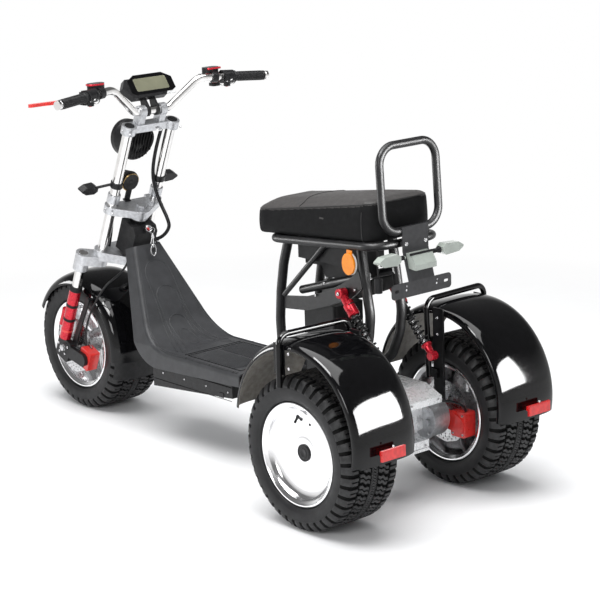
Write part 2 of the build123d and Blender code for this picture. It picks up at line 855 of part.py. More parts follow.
cord([steer(*place) for place in (
    (58, -64, top_clamp_height - 1), (61, -64, 240), (62, -64, 192), (60, -64, 150), (54, -64, 112),
    (42, -65, 76), (20, -69, 42), (-6, -72, 16), (-34, -72, -2), (-66, -72, -19), (-92, -71, -38),
)], harness_radius, "harness_upper")
cord([steer(*place) for place in (
    (-96, -70, -52), (-93, -67, -71), (-87, -61, -89), (-79, -52, -103), (-67.5, -41, -115),
)], harness_radius, "harness_lower")
cord([steer(*place) for place in (
    (56, 65, top_clamp_height - 1), (62, 64, 240), (66, 63, 190), (68, 63, 138), (67, 62, 84),
    (66, 62, 30), (67, 61, -20), (69, 60, -68), (66, 59, -112), (57, 59, -152), (54, 59, yoke_top + 1),
)], conduit_radius, "conduit")
cord([steer(*place) for place in (
    (-57, 53.9, -176), (-74, 67, -184), (-88, 86, -196), (-93, 106, -214), (-88, 122, -236), (-76.5, 129.6, -257),
)], hose_radius, "brake_hose_upper")
cord([steer(*place) for place in (
    (-73.5, 130.6, -262.6), (-62, 133, -284), (-49, 134, -314), (-36, 134, -346), (-24, 134, -384),
    (-13, 134, -424), (-6, 133, -466), (-4, 132, -508), (-8, 131, -544), (-22, 130, -580),
)], hose_radius, "brake_hose_lower")

# ---------------------------------------------------------------- main frame
head_tube_bottom = -195.0
head_tube_top = -55.0
down_tube_radius = 20.0
housing_front = -565.0
housing_rear = -655.0
housing_bottom = 265.0
housing_top = 335.0
housing_side = 85.0
rail_front = 330.0
rail_top = deck_top - seat_gap
rail_height = rail_top - rail_tube_radius
rail_crosses = [330.0, 60.0, -240.0, -430.0, -540.0]
down_tube_route = [steer(0, 0, -105), Vector(558, 0, 585), Vector(400, 0, 355), Vector(rail_front, 0, rail_height)]
with BuildPart() as main_frame:
    with BuildSketch(steer_plane(head_tube_bottom)):
        Circle(head_tube_radius)
    extrude(amount=head_tube_top - head_tube_bottom)
    add(bent_bar(down_tube_route, [60, 120], down_tube_radius))
    for side in (rail_side, -rail_side):
        add(rod((rail_front + rail_tube_radius, side, rail_height), (housing_front - 20, side, rail_height),
                rail_tube_radius))
    for station in rail_crosses:
        add(rod((station, -rail_side, rail_height), (station, rail_side, rail_height), cross_tube_radius))
    with BuildSketch(side_plane(housing_side)):
        with Locations(((housing_front + housing_rear) / 2, (housing_bottom + housing_top) / 2)):
            RectangleRounded(housing_front - housing_rear, housing_top - housing_bottom, 8)
    extrude(amount=2 * housing_side)
    with BuildSketch(steer_plane(head_tube_bottom - 40)):
        Circle(stem_radius + running_gap)
    extrude(amount=head_tube_top - head_tube_bottom + 60, mode=Mode.SUBTRACT)
    with BuildSketch(Plane(origin=(housing_rear - 1, 0, tilt_axis_height), z_dir=(1, 0, 0))):
        Circle(tilt_shaft_radius + running_gap)
    extrude(amount=housing_front - housing_rear + 2, mode=Mode.SUBTRACT)
save(main_frame, "main_frame")

# ---------------------------------------------------------------- seat frame
seat_rail_front = -325.0
seat_rail_rear = -850.0
seat_rail_corner = 60.0
seat_rail_front_height = 826.0
seat_rail_slope = 41.0 / 525.0


def seat_rail_height(station):
    """Height of the seat rail's centre line at a station."""
    return seat_rail_front_height + (seat_rail_front - station) * seat_rail_slope


def rail_place(station, side):
    return (station, side, seat_rail_height(station))


seat_cross_stations = [-372.0, -570.0, -698.0]
front_bow = [(-372, 815), (-340, 735), (-322, 640), (-313, 540), (-317, 450), (-340, 372), (-340, 330)]
rear_bow = [(-698, 815), (-722, 700), (-738, 620), (-728, 540), (-690, 460), (-600, 385), (-600, 336)]
front_bow[0] = (seat_cross_stations[0], seat_rail_height(seat_cross_stations[0]))
rear_bow[0] = (seat_cross_stations[2], seat_rail_height(seat_cross_stations[2]))
front_bow[-1] = (front_bow[-1][0], rail_height + rail_tube_radius + seat_gap)
rear_bow[-1] = (rear_bow[-1][0], housing_top + seat_gap)
gusset_thickness = 6.0
gusset_side = 86.0
shock_eye_place = (-645.0, 685.0)
shock_pin_radius = 6.0
shock_pin_end = 122.0
brace_radius = 9.0
lower_tube_radius = 14.0
lower_tube_side = 60.0

with BuildPart() as seat_frame:
    corners = [rail_place(seat_rail_front, 0), rail_place(seat_rail_front, seat_rail_side),
               rail_place(seat_rail_rear, seat_rail_side), rail_place(seat_rail_rear, 0)]
    add(bent_bar(corners, [seat_rail_corner, seat_rail_corner], seat_rail_radius))
    add(bent_bar([other_side(corner) for corner in corners], [seat_rail_corner, seat_rail_corner],
                 seat_rail_radius))
    for station in seat_cross_stations:
        add(rod(rail_place(station, -seat_rail_side), rail_place(station, seat_rail_side), seat_rail_radius - 1))
    for sign in (1, -1):
        add(bent_bar([(x, sign * front_bow_side, z) for x, z in front_bow], [150, 200, 200, 150, 90], bow_radius))
        add(bent_bar([(x, sign * rear_bow_side, z) for x, z in rear_bow], [150, 150, 100, 60, 25], bow_radius))
        with BuildSketch(side_plane(sign * gusset_side)):
            with BuildLine():
                Polyline((-322, 580), (-322, 622), (-450, 640), (-560, 675), (-650, 722), (-706, 762),
                         (-714, 738), (-722, 708), (-668, 668), (-560, 625), (-450, 592), close=True)
            make_face()
            with Locations(shock_eye_place):
                Circle(18)
        extrude(amount=sign * gusset_thickness)
        with BuildSketch(side_plane(sign * shock_pin_end)):
            with Locations(shock_eye_place):
                Circle(shock_pin_radius)
        extrude(amount=sign * (shock_pin_end - gusset_side + 2))
        add(rod((seat_cross_stations[1], sign * front_bow_side, seat_rail_height(seat_cross_stations[1])),
                (-338, sign * front_bow_side, 628), brace_radius))
        add(rod((-400, sign * lower_tube_side, 650), (-722, sign * lower_tube_side, 745), lower_tube_radius))
save(seat_frame, "seat_frame")

# ---------------------------------------------------------------- seat, boxes, deck
seat_nose = -250.0
seat_rear = -828.0
seat_line = seat_rail_radius / cos(radians(4.5)) + seat_gap + 0.4


def above_rail(station, rise):
    return (station, seat_rail_height(station) + seat_line + rise)


with BuildPart() as seat:
    with BuildSketch(side_plane(seat_half_width)):
        with BuildLine():
            Polyline(above_rail(-275, 0), (seat_nose + 4, 862), (seat_nose, 892), (seat_nose - 14, 930),
                     (seat_nose - 60, 953), (-400, 963), (-490, 962), (-560, 984), (-640, 1001),
                     (-740, 1006), (-800, 1001), (seat_rear, 970), above_rail(seat_rear, 0), close=True)
        make_face()
    extrude(amount=2 * seat_half_width)
    fillet(seat.edges().filter_by(lambda edge: abs(abs(edge.center().Y) - seat_half_width) < 1
                                  and edge.center().Z > 925), 24)
    with BuildSketch(Plane.XY.offset(seat_rail_front_height - 40)):
        Rectangle(3000, 600)
        with Locations(((seat_nose + seat_rear) / 2, 0)):
            RectangleRounded(seat_nose - seat_rear, 2 * seat_half_width, 70, mode=Mode.SUBTRACT)
    extrude(amount=260, mode=Mode.SUBTRACT)
save(seat, "seat")

box_top = seat_rail_height(seat_cross_stations[1]) - seat_rail_radius + 1 - seat_gap
with BuildPart() as underseat_box:
    with BuildSketch(side_plane(74)):
        with BuildLine():
            Polyline((-402, box_top), (-402, 762), (-655, 762), (-655, box_top), close=True)
        make_face()
    extrude(amount=148)
    with BuildSketch(side_plane(44)):
        with BuildLine():
            Polyline((-402, 762), (-402, 738), (-481, 742), (-500, 705), (-655, 720), (-655, 762), close=True)
        make_face()
    extrude(amount=88)
save(underseat_box, "underseat_box")

pack_front = -405.0
pack_rear = -563.0
with BuildPart() as battery_pack:
    with BuildSketch(Plane.XY.offset(rail_height + cross_tube_radius + seat_gap)):
        with Locations(((pack_front + pack_rear) / 2, 0)):
            RectangleRounded(pack_front - pack_rear, 130, 12)
    extrude(amount=290)
save(battery_pack, "battery_pack")

battery_front = 327.0
battery_rear = -120.0
with BuildPart() as battery_box:
    with BuildSketch(side_plane(battery_half_width)):
        with BuildLine():
            Polyline((battery_front, rail_height - rail_tube_radius - seat_gap), (battery_front, 199),
                     (battery_rear, 238), (battery_rear, rail_height - rail_tube_radius - seat_gap), close=True)
        make_face()
    extrude(amount=2 * battery_half_width)
save(battery_box, "battery_box")

deck_outer = [(530, 660), (329.5, deck_top + deck_wall), (-170, deck_top + deck_wall)]
deck_skirt = [(-170, 290), (381.8, 265.2), (575, 645)]
deck_bend = 180.0
skirt_bend = 140.0
deck_edge_radius = 16.0
deck_taper_bottom = 345.0
deck_taper_top = 660.0
deck_top_half_width = 62.0


def deck_front_outline(inset):
    """Half widths of the deck by height, as an outline in the crosswise plane."""
    low = deck_half_width - inset
    high = deck_top_half_width - inset
    return [(-low, 200), (low, 200), (low, deck_taper_bottom), (high, deck_taper_top),
            (high, deck_taper_top + 60), (-high, deck_taper_top + 60), (-high, deck_taper_top),
            (-low, deck_taper_bottom)]


def moved_inward(points, distance):
    """An open line moved to its left by a distance, corner by corner."""
    moved = []
    for index, corner in enumerate(points):
        here = Vector(*corner)
        before = (here - Vector(*points[index - 1])).normalized() if index else None
        after = (Vector(*points[index + 1]) - here).normalized() if index + 1 < len(points) else None
        before = before or after
        after = after or before
        normal = (Vector(-before.Y, before.X) + Vector(-after.Y, after.X)).normalized()
        reach = distance / normal.dot(Vector(-after.Y, after.X))
        moved.append((here.X + normal.X * reach, here.Y + normal.Y * reach))
    return moved


def deck_body(outline, bend, crosswise, edge_radius, closing):
    """A solid under a bent deck line, narrowed to a crosswise outline, its long upper edges rounded."""
    with BuildPart() as body:
        with BuildSketch(side_plane(deck_half_width)):
            with BuildLine():
                FilletPolyline(*outline, radius=bend)
                if len(closing) == 3:
                    Line(outline[-1], closing[0])
                    FilletPolyline(*closing, radius=skirt_bend)
                    Line(closing[-1], outline[0])
                else:
                    Polyline(outline[-1], *closing, outline[0])
            make_face()
        extrude(amount=2 * deck_half_width)
        with BuildSketch(Plane(origin=(800, 0, 0), x_dir=(0, 1, 0), z_dir=(1, 0, 0))):
            with BuildLine():
                Polyline(*crosswise, close=True)
            make_face()
        extrude(amount=-1100, mode=Mode.INTERSECT)
        upper = [edge for edge in body.edges()
                 if edge.length > 60 and edge.center().Z > deck_top - 2 * deck_wall
                 and abs(edge.center().Y) > deck_top_half_width - 3 * deck_wall
                 and edge.center().X < deck_line_x(edge.center().Z) + 4 * deck_wall]
        fillet(upper, edge_radius)
    return body.part


def deck_line_x(height):
    """Where the slanted deck line stands at a height."""
    (top_x, top_z), (foot_x, foot_z) = deck_outer[:2]
    return foot_x + (top_x - foot_x) * max(0.0, height - foot_z) / (top_z - foot_z)


deck_inner = moved_inward(deck_outer, deck_wall)
deck_inner = [(deck_inner[0][0] + 40, deck_inner[0][1] + 65), deck_inner[1], (-200, deck_inner[-1][1])]
hollow = deck_body(deck_inner, deck_bend + deck_wall, deck_front_outline(deck_wall),
                   deck_edge_radius - deck_wall, [(-200, 180), (600, 180), (700, 700), (720, 720)])
shell = deck_body(deck_outer, deck_bend, deck_front_outline(0), deck_edge_radius, deck_skirt)
with BuildPart() as footboard:
    add(shell)
    add(hollow, mode=Mode.SUBTRACT)
save(footboard, "footboard")

cover_half_width = 50.0
cover_outline = [(30, -188), (30, -64), (-44, -64), (-62, -82), (-62, -188)]
key_radius = 12.0
key_length = 22.0
with BuildPart() as head_cover:
    with BuildSketch(steer_side_plane(cover_half_width)):
        with BuildLine():
            Polyline(*cover_outline, close=True)
        make_face()
    extrude(amount=2 * cover_half_width)
    with BuildSketch(steer_plane(head_tube_bottom - 20)):
        Circle(head_tube_radius + seat_gap)
    extrude(amount=200, mode=Mode.SUBTRACT)
    add(rod(down_tube_route[0], down_tube_route[0] + (down_tube_route[1] - down_tube_route[0]) * 1.3,
            down_tube_radius + seat_gap), mode=Mode.SUBTRACT)
save(head_cover, "head_cover")

key_base = [(first + second) / 2 for first, second in zip(cover_outline[2], cover_outline[3])]
with BuildPart() as key_switch:
    add(rod(steer(key_base[0], 0, key_base[1]),
            steer(key_base[0] - key_length * 0.7071, 0, key_base[1] + key_length * 0.7071), key_radius))
save(key_switch, "key_switch")

# ---------------------------------------------------------------- rear shocks
shock_side = 105.0
shock_top = Vector(shock_eye_place[0], 0, shock_eye_place[1])
shock_bottom = Vector(-838, 0, 472)
shock_way = (shock_bottom - shock_top).normalized()
shock_length = (shock_bottom - shock_top).length
shock_across = Vector(-shock_way.Z, 0, shock_way.X)
shock_eye_radius = 16.0
coil_radius = 18.5
coil_wire = 3.5
coil_start = 126.0
coil_pitch = 17.0
coil_turns = 8


def coil_outline():
    """The spring's outline: along the shock, out from its axis."""
    points = [(118, coil_radius + 1), (coil_start, coil_radius + 1), (coil_start, 12)]
    for turn in range(coil_turns):
        start = coil_start + 2 + turn * coil_pitch
        points += [(start, 12), (start + 2, coil_radius), (start + 2 + 2 * coil_wire, coil_radius),
                   (start + 4 + 2 * coil_wire, 12)]
    end = coil_start + coil_turns * coil_pitch
    return points + [(end, 12), (end, coil_radius + 1), (end + 8, coil_radius + 1), (end + 8, 11)]


with BuildPart() as rear_shocks:
    for sign in (1, -1):
        middle = Vector(0, sign * shock_side, 0)
        for place in (shock_top, shock_bottom):
            add(rod(place + middle - Vector(0, 13, 0), place + middle + Vector(0, 13, 0), shock_eye_radius))
        add(rod(shock_top + middle + shock_way * 10, shock_top + middle + shock_way * 120, 14))
        add(rod(shock_top + middle + shock_way * 22 + shock_across * -24,
                shock_top + middle + shock_way * 92 + shock_across * -24, 12))
        add(rod(shock_top + middle + shock_way * 50, shock_top + middle + shock_way * 50 + shock_across * -24, 8))
        with BuildSketch(Plane(origin=shock_top + middle, x_dir=shock_way, z_dir=(0, 1, 0))):
            with BuildLine():
                Polyline((118, 0), *coil_outline(), (shock_length - 8, 11), (shock_length - 8, 0), close=True)
            make_face()
        revolve(axis=Axis(shock_top + middle, shock_way))
        add(rod(shock_top + middle - Vector(0, 20, 0), shock_top + middle + Vector(0, 20, 0),
                shock_pin_radius + seat_gap), mode=Mode.SUBTRACT)
        add(rod(shock_bottom + middle - Vector(0, 20, 0), shock_bottom + middle + Vector(0, 20, 0),
                shock_pin_radius), mode=Mode.SUBTRACT)
save(rear_shocks, "rear_shocks")

# ---------------------------------------------------------------- backrest hoop, tail bracket and lamps
hoop_side = 120.0
backrest_radius = 13.0
backrest_top = (-849.0, 1177.0)
backrest_bottom = (-864.0, 908.0)
backrest_corner = 60.0
with BuildPart() as backrest_hoop:
    half = [(backrest_top[0], 0, backrest_top[1]), (backrest_top[0], hoop_side, backrest_top[1]),
            (backrest_bottom[0], hoop_side, backrest_bottom[1]), (backrest_bottom[0], 0, backrest_bottom[1])]
    add(bent_bar(half, [backrest_corner, backrest_corner], backrest_radius))
    add(bent_bar([other_side(place) for place in half], [backrest_corner, backrest_corner], backrest_radius))
save(backrest_hoop, "backrest_hoop")

plate_thickness = 3.0
plate_face = backrest_bottom[0] - backrest_radius - seat_gap
rail_rear_face = seat_rail_rear - seat_rail_radius - seat_gap
bracket_half_width = 55.0
wing_half_width = 128.0
wing_place = -902.0
wing_top_height = 754.0
wing_height = 48.0
wing_bottom = wing_top_height - wing_height
bend_above_wing = 92.0
bend_height = wing_top_height + bend_above_wing
top_above_bend = 76.0
bracket_top = bend_height + top_above_bend
bolt_side = 41.0
bolt_height = 868.0


def plate_front(height):
    """The station of the bracket's front face at a height: upright above the bend, sloping to the wing below."""
    share = max(0, (bend_height - height) / bend_above_wing)
    return plate_face + (wing_place - plate_face) * share


with BuildPart() as tail_bracket:
    with BuildSketch(side_plane(bracket_half_width)):
        with BuildLine():
            Polyline((plate_face, bracket_top), (plate_face, bend_height), (wing_place, wing_top_height),
                     (wing_place, wing_bottom + 6), (wing_place - plate_thickness, wing_bottom + 6),
                     (wing_place - plate_thickness, wing_top_height),
                     (plate_face - plate_thickness, bend_height), (plate_face - plate_thickness, bracket_top),
                     close=True)
        make_face()
    extrude(amount=2 * bracket_half_width)
    with BuildSketch(Plane(origin=(wing_place, 0, 0), x_dir=(0, 1, 0), z_dir=(1, 0, 0))):
        with Locations((0, (wing_bottom + wing_top_height) / 2)):
            RectangleRounded(2 * wing_half_width, wing_top_height - wing_bottom, 12)
        with Locations((-106, wing_bottom + 25), (106, wing_bottom + 25)):
            SlotOverall(20, 9, mode=Mode.SUBTRACT)
        with Locations((-65, wing_bottom + 23), (65, wing_bottom + 23)):
            Circle(4, mode=Mode.SUBTRACT)
    extrude(amount=-plate_thickness)
    for side in (bolt_side, -bolt_side):
        add(rod((plate_front(bolt_height) - 1, side, bolt_height), (rail_rear_face, side, bolt_height), 9))
save(tail_bracket, "tail_bracket")

lamp_top = bend_height - 6
lamp_height = 47.0
lamp_bottom = lamp_top - lamp_height
lamp_face = wing_place - 24
arm_height = lamp_top - 12


def plate_back(height):
    """The station of the bracket's rear face at a height."""
    return plate_front(height) - plate_thickness


indicator_outline = [(90, -4), (104, -14), (160, -11), (180, 1), (180, 7), (160, 19), (104, 22), (90, 12)]
with BuildPart() as rear_lamps:
    with BuildSketch(side_plane(45)):
        with BuildLine():
            Polyline((plate_back(lamp_top) - 0.4, lamp_top), (plate_back(lamp_bottom) - 0.4, lamp_bottom),
                     (lamp_face, lamp_bottom - 3), (lamp_face, lamp_bottom + 13),
                     (lamp_face + 18, lamp_top - 4), close=True)
        make_face()
    extrude(amount=90)
    for sign in (1, -1):
        add(rod((wing_place + 14, sign * (bracket_half_width + seat_gap), arm_height),
                (wing_place + 9, sign * 96, arm_height + 3), 5))
        with BuildSketch(Plane(origin=(-910, 0, 0), x_dir=(0, sign, 0), z_dir=(sign, 0, 0))):
            with BuildLine():
                Polyline(*[(across, arm_height + up) for across, up in indicator_outline], close=True)
            make_face()
        extrude(amount=sign * 30)
save(rear_lamps, "rear_lamps")

reflector_place = (-728.0, 800.0)
with BuildPart() as side_reflectors:
    for sign in (1, -1):
        with BuildSketch(side_plane(sign * 143)):
            with Locations(reflector_place):
                Ellipse(28, 35)
        extrude(amount=sign * -7)
        with BuildSketch(side_plane(sign * 140)):
            with BuildLine():
                Polyline((-740, 785), (-716, 785), (-716, seat_rail_height(-716) - 12.4),
                         (-740, seat_rail_height(-716) - 12.4), close=True)
            make_face()
        extrude(amount=sign * -3)
save(side_reflectors, "side_reflectors")

# ---------------------------------------------------------------- rear carriage
axle_box_half_width = 75.0
axle_box_front = -670.0
axle_box_outline = [
    (axle_box_front, 390), (-835, 390), (-907, 360), (-907, 338), (-804, 338), (-790, 324), (-790, 216),
    (-804, 202), (-845, 202), (-845, 165), (axle_box_front, 165),
]
shaft_end = -552.0
with BuildPart() as axle_box:
    with BuildSketch(side_plane(axle_box_half_width)):
        with BuildLine():
            Polyline(*axle_box_outline, close=True)
        make_face()
    extrude(amount=2 * axle_box_half_width)
    add(rod((axle_box_front - 5, 0, tilt_axis_height), (shaft_end, 0, tilt_axis_height), tilt_shaft_radius))
    for sign in (1, -1):
        with BuildSketch(side_plane(sign * (axle_box_half_width - 1))):
            with BuildLine():
                Polyline((-700, 320), (-786, 320), (-786, 215), (-700, 215), close=True)
            make_face()
        extrude(amount=sign * -(104.7 - axle_box_half_width + 1))
save(axle_box, "axle_box")

flange_side = 105.0
carrier_side = 118.0
boss_outer = rear_disc_side - 32
carrier_outer = boss_outer - 12.3
flange_radius = 68.0
boss_radius = 55.0
stub_end = wheel_side + rear_bore_end - 5
with BuildPart() as wheel_carriers:
    for sign in (1, -1):
        centre = (rear_axle_x, axle_height)
        for start, end, radius in (
            (flange_side, carrier_side, flange_radius + 4), (carrier_side, carrier_outer, flange_radius),
            (carrier_outer, boss_outer, boss_radius), (boss_outer, stub_end, rear_stub_radius),
        ):
            with BuildSketch(side_plane(sign * start)):
                with Locations(centre):
                    Circle(radius)
            extrude(amount=-sign * (end - start))
        with BuildSketch(side_plane(sign * flange_side)):
            with Locations((rear_axle_x - 27 - 16, axle_height - 3)):
                RegularPolygon(12, 6)
        extrude(amount=sign * 12)
save(wheel_carriers, "wheel_carriers")

caliper_place = (-855.0, 225.0)
caliper_size = (66.0, 86.0)
caliper_reach_in = 26.0  # from the disc
with BuildPart() as rear_calipers:
    for sign in (1, -1):
        with BuildSketch(side_plane(sign * (rear_disc_side - caliper_reach_in))):
            with Locations(caliper_place):
                RectangleRounded(*caliper_size, 8)
        extrude(amount=-sign * 48)
        with BuildSketch(side_plane(sign * (boss_outer + seat_gap))):
            with Locations((rear_axle_x, axle_height)):
                Circle(34)
            with Locations(caliper_place):
                Circle(30)
            make_hull()
        extrude(amount=-sign * 6)
        with BuildSketch(side_plane(sign * (rear_disc_side - pad_gap))):
            with Locations((rear_axle_x, axle_height)):
                Circle(disc_radius + 4)
        extrude(amount=-sign * (disc_thickness + 2 * pad_gap), mode=Mode.SUBTRACT)
        with BuildSketch(side_plane(sign * boss_outer)):
            with Locations((rear_axle_x, axle_height)):
                Circle(rear_stub_radius + seat_gap)
        extrude(amount=-sign * 20, mode=Mode.SUBTRACT)
save(rear_calipers, "rear_calipers")

fender_start = 7.0
fender_end = 190.0
fender_centre_x = rear_axle_x + fender_ahead
fender_middle = (fender_outer + fender_inner - 2) / 2
for hand, sign in (("left", 1), ("right", -1)):
    outer, inner = fender_section((fender_outer - fender_inner + 2) / 2, fender_radius, fender_lip_radius,
                                  fender_wall, 3.0)
    with BuildPart() as rear_fender:
        add(fender_shell((fender_centre_x, sign * fender_middle, fender_centre_height), outer, inner,
                         fender_start, fender_end))
    save(rear_fender, f"rear_fender_{hand}")

strap_side = carrier_outer + seat_gap
strap_thickness = 6.7
strap_width = 46.0
strap_place = fender_centre_x - 15
strap_top = fender_centre_height + 290
strap_bottom = axle_height + 14
with BuildPart() as fender_straps:
    for sign in (1, -1):
        with BuildSketch(side_plane(sign * strap_side)):
            with Locations((strap_place, (strap_bottom + strap_top) / 2)):
                Rectangle(strap_width, strap_top - strap_bottom)
            with Locations((rear_axle_x, axle_height)):
                Circle(boss_radius + seat_gap, mode=Mode.SUBTRACT)
        extrude(amount=-sign * strap_thickness)
save(fender_straps, "fender_straps")

hoop_inner_side = fender_inner - 19
hoop_outer_side = fender_outer + 12
hoop_top_height = 630.0
with BuildPart() as fender_hoops:
    for sign in (1, -1):
        add(bent_bar([(astern(40), sign * hoop_outer_side, 465),
                      (astern(36), sign * hoop_outer_side, hoop_top_height),
                      (astern(22), sign * hoop_inner_side, hoop_top_height),
                      (astern(16), sign * hoop_inner_side, 373)], [35, 35], hoop_radius))
        with BuildSketch(side_plane(sign * (fender_outer + seat_gap))):
            with Locations((astern(48), 551)):
                Rectangle(50, 98)
        extrude(amount=-sign * 3)
        with BuildSketch(side_plane(sign * (hoop_inner_side - 2))):
            with Locations((-770, 391)):
                Rectangle(48, 30)
        extrude(amount=-sign * (strap_side - seat_gap - hoop_inner_side + 2))
save(fender_hoops, "fender_hoops")

reflector_thickness = 8.0
with BuildPart() as rear_reflectors:
    for sign in (1, -1):
        with BuildSketch(Plane(origin=(rear_axle_x - rear_overhang, sign * wheel_side, 303),
                               x_dir=(0, 1, 0), z_dir=(1, 0, 0))):
            Rectangle(97, 34)
        extrude(amount=reflector_thickness)
        with BuildSketch(Plane(origin=(rear_axle_x - rear_overhang + 4, sign * wheel_side, 303),
                               x_dir=(0, 1, 0), z_dir=(1, 0, 0))):
            Rectangle(60, 14)
        extrude(amount=50)
        with BuildSketch(side_plane(400)):
            with Locations((fender_centre_x, fender_centre_height)):
                Circle(fender_radius + seat_gap)
        extrude(amount=800, mode=Mode.SUBTRACT)
save(rear_reflectors, "rear_reflectors")

with BuildPart() as charge_cap:
    add(rod((-832, 118, seat_rail_height(-832) - 13.6), (-832, 118, 762), 2.5))
    add(rod((-832, 118, 765), (-832, 118, 718), 13))
save(charge_cap, "charge_cap")

rear_hose = [
    (-794, 60, 302), (-809, 70, 309), (-824, 86, 316), (-842, 108, 321), (-861, 132, 321),
    (-876, 157, 314), (-884, 181, 302), (-883, 201, 286), (-876, 211, 271.5),
]
rear_hose_radii = largest_radii(rear_hose)
print("rear_brake_hoses bend radii", [round(value) for value in rear_hose_radii], "limit", 10 * hose_radius)
with BuildPart() as rear_brake_hoses:
    add(bent_bar(rear_hose, rear_hose_radii, hose_radius))
    add(bent_bar([other_side(place) for place in rear_hose], rear_hose_radii, hose_radius))
save(rear_brake_hoses, "rear_brake_hoses")
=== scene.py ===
import json
import math

import bmesh
import bpy
import numpy as np
from mathutils import Matrix, Vector


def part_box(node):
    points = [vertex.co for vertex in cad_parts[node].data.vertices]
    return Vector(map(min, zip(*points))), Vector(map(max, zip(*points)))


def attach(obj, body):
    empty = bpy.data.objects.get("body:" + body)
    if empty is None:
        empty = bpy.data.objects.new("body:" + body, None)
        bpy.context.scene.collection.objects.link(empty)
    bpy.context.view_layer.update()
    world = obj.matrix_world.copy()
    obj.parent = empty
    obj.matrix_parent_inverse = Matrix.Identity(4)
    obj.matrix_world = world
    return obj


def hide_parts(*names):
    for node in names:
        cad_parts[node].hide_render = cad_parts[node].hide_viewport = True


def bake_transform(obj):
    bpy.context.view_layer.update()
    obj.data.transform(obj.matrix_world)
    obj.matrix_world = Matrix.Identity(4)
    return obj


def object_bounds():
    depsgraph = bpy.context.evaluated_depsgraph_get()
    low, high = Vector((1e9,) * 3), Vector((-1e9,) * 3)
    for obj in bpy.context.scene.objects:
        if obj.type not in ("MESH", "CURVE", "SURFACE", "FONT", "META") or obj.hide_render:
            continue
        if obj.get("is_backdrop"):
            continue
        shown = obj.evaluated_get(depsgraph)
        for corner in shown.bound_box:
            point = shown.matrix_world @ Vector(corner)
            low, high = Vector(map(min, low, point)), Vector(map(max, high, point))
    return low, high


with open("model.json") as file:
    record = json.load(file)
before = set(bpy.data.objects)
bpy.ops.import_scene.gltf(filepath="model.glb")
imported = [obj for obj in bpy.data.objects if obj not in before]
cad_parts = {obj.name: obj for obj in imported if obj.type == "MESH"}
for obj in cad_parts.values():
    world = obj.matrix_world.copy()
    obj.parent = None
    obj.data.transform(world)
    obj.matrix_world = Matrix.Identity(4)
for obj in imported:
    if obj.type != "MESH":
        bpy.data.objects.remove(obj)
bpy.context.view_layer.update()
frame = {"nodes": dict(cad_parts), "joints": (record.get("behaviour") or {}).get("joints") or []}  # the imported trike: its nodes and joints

nodes = frame["nodes"]


def new_object(name, data):
    """A new object with this data, in the scene."""
    thing = bpy.data.objects.new(name, data)
    bpy.context.scene.collection.objects.link(thing)
    return thing


def evaluated_mesh(thing):
    """A mesh of an object as its modifiers or curve settings make it."""
    bpy.context.view_layer.update()
    return bpy.data.meshes.new_from_object(thing.evaluated_get(bpy.context.evaluated_depsgraph_get()))


# ---- camera
camera_place = Vector((-5.496, 4.398, 2.256))
yaw, pitch, roll = (math.radians(angle) for angle in (-40.33, -13.78, -1.97))
look = Vector((math.cos(pitch) * math.cos(yaw), math.cos(pitch) * math.sin(yaw), math.sin(pitch)))
level = look.cross(Vector((0, 0, 1))).normalized()
upward = level.cross(look)
camera_x = level * math.cos(roll) + upward * math.sin(roll)
camera_y = upward * math.cos(roll) - level * math.sin(roll)
camera = new_object("camera", bpy.data.cameras.new("camera"))
camera.data.sensor_width = 36
camera.data.lens = 125.7
camera.data.clip_end = 60
turn = Matrix((camera_x, camera_y, -look)).transposed().to_4x4()
camera.matrix_world = Matrix.Translation(camera_place) @ turn
bpy.context.scene.camera = camera
bpy.context.scene.view_settings.view_transform = "Standard"

# ---- places on the trike, in metres
rake = math.radians(23.8)
axis_up = Vector((-math.sin(rake), 0, math.cos(rake)))
axis_forward = Vector((math.cos(rake), 0, math.sin(rake)))
sideways = Vector((0, 1, 0))
joint_places = {joint["name"]: Vector(joint["pos_m"]) for joint in frame["joints"]}
stem_top, front_axle = joint_places["steering_head"], joint_places["front_wheel_spin"]
hands = {"left": 1, "right": -1}  # the sign of y on each side
rear_axles = {hand: joint_places[f"rear_wheel_{hand}_spin"] for hand in hands}


def mm(*values):
    """A place given in millimetres."""
    return Vector(values) / 1000


def steer(forward, side, height):
    """A place by the steering axis: ahead of it, to the left of it and along it, in millimetres."""
    return stem_top + (axis_forward * forward + sideways * side + axis_up * height) / 1000


def turns(count, phase=0.0):
    """Angles evenly round a circle, the first one moved by a share of a step."""
    return [2 * math.pi * (k + phase) / count for k in range(count)]


def wheel_out(angle):
    """The direction out from a wheel's axle at an angle."""
    return Vector((math.cos(angle), 0, math.sin(angle)))


# ---- materials
def add_node(tree, kind, inputs=None, **settings):
    """A new node with its settings, and with its inputs set or linked."""
    node = tree.nodes.new(kind)
    for key, value in settings.items():
        setattr(node, key, value)
    for key, value in (inputs or {}).items():
        if isinstance(value, bpy.types.NodeSocket):
            tree.links.new(value, node.inputs[key])
        else:
            node.inputs[key].default_value = value
    return node


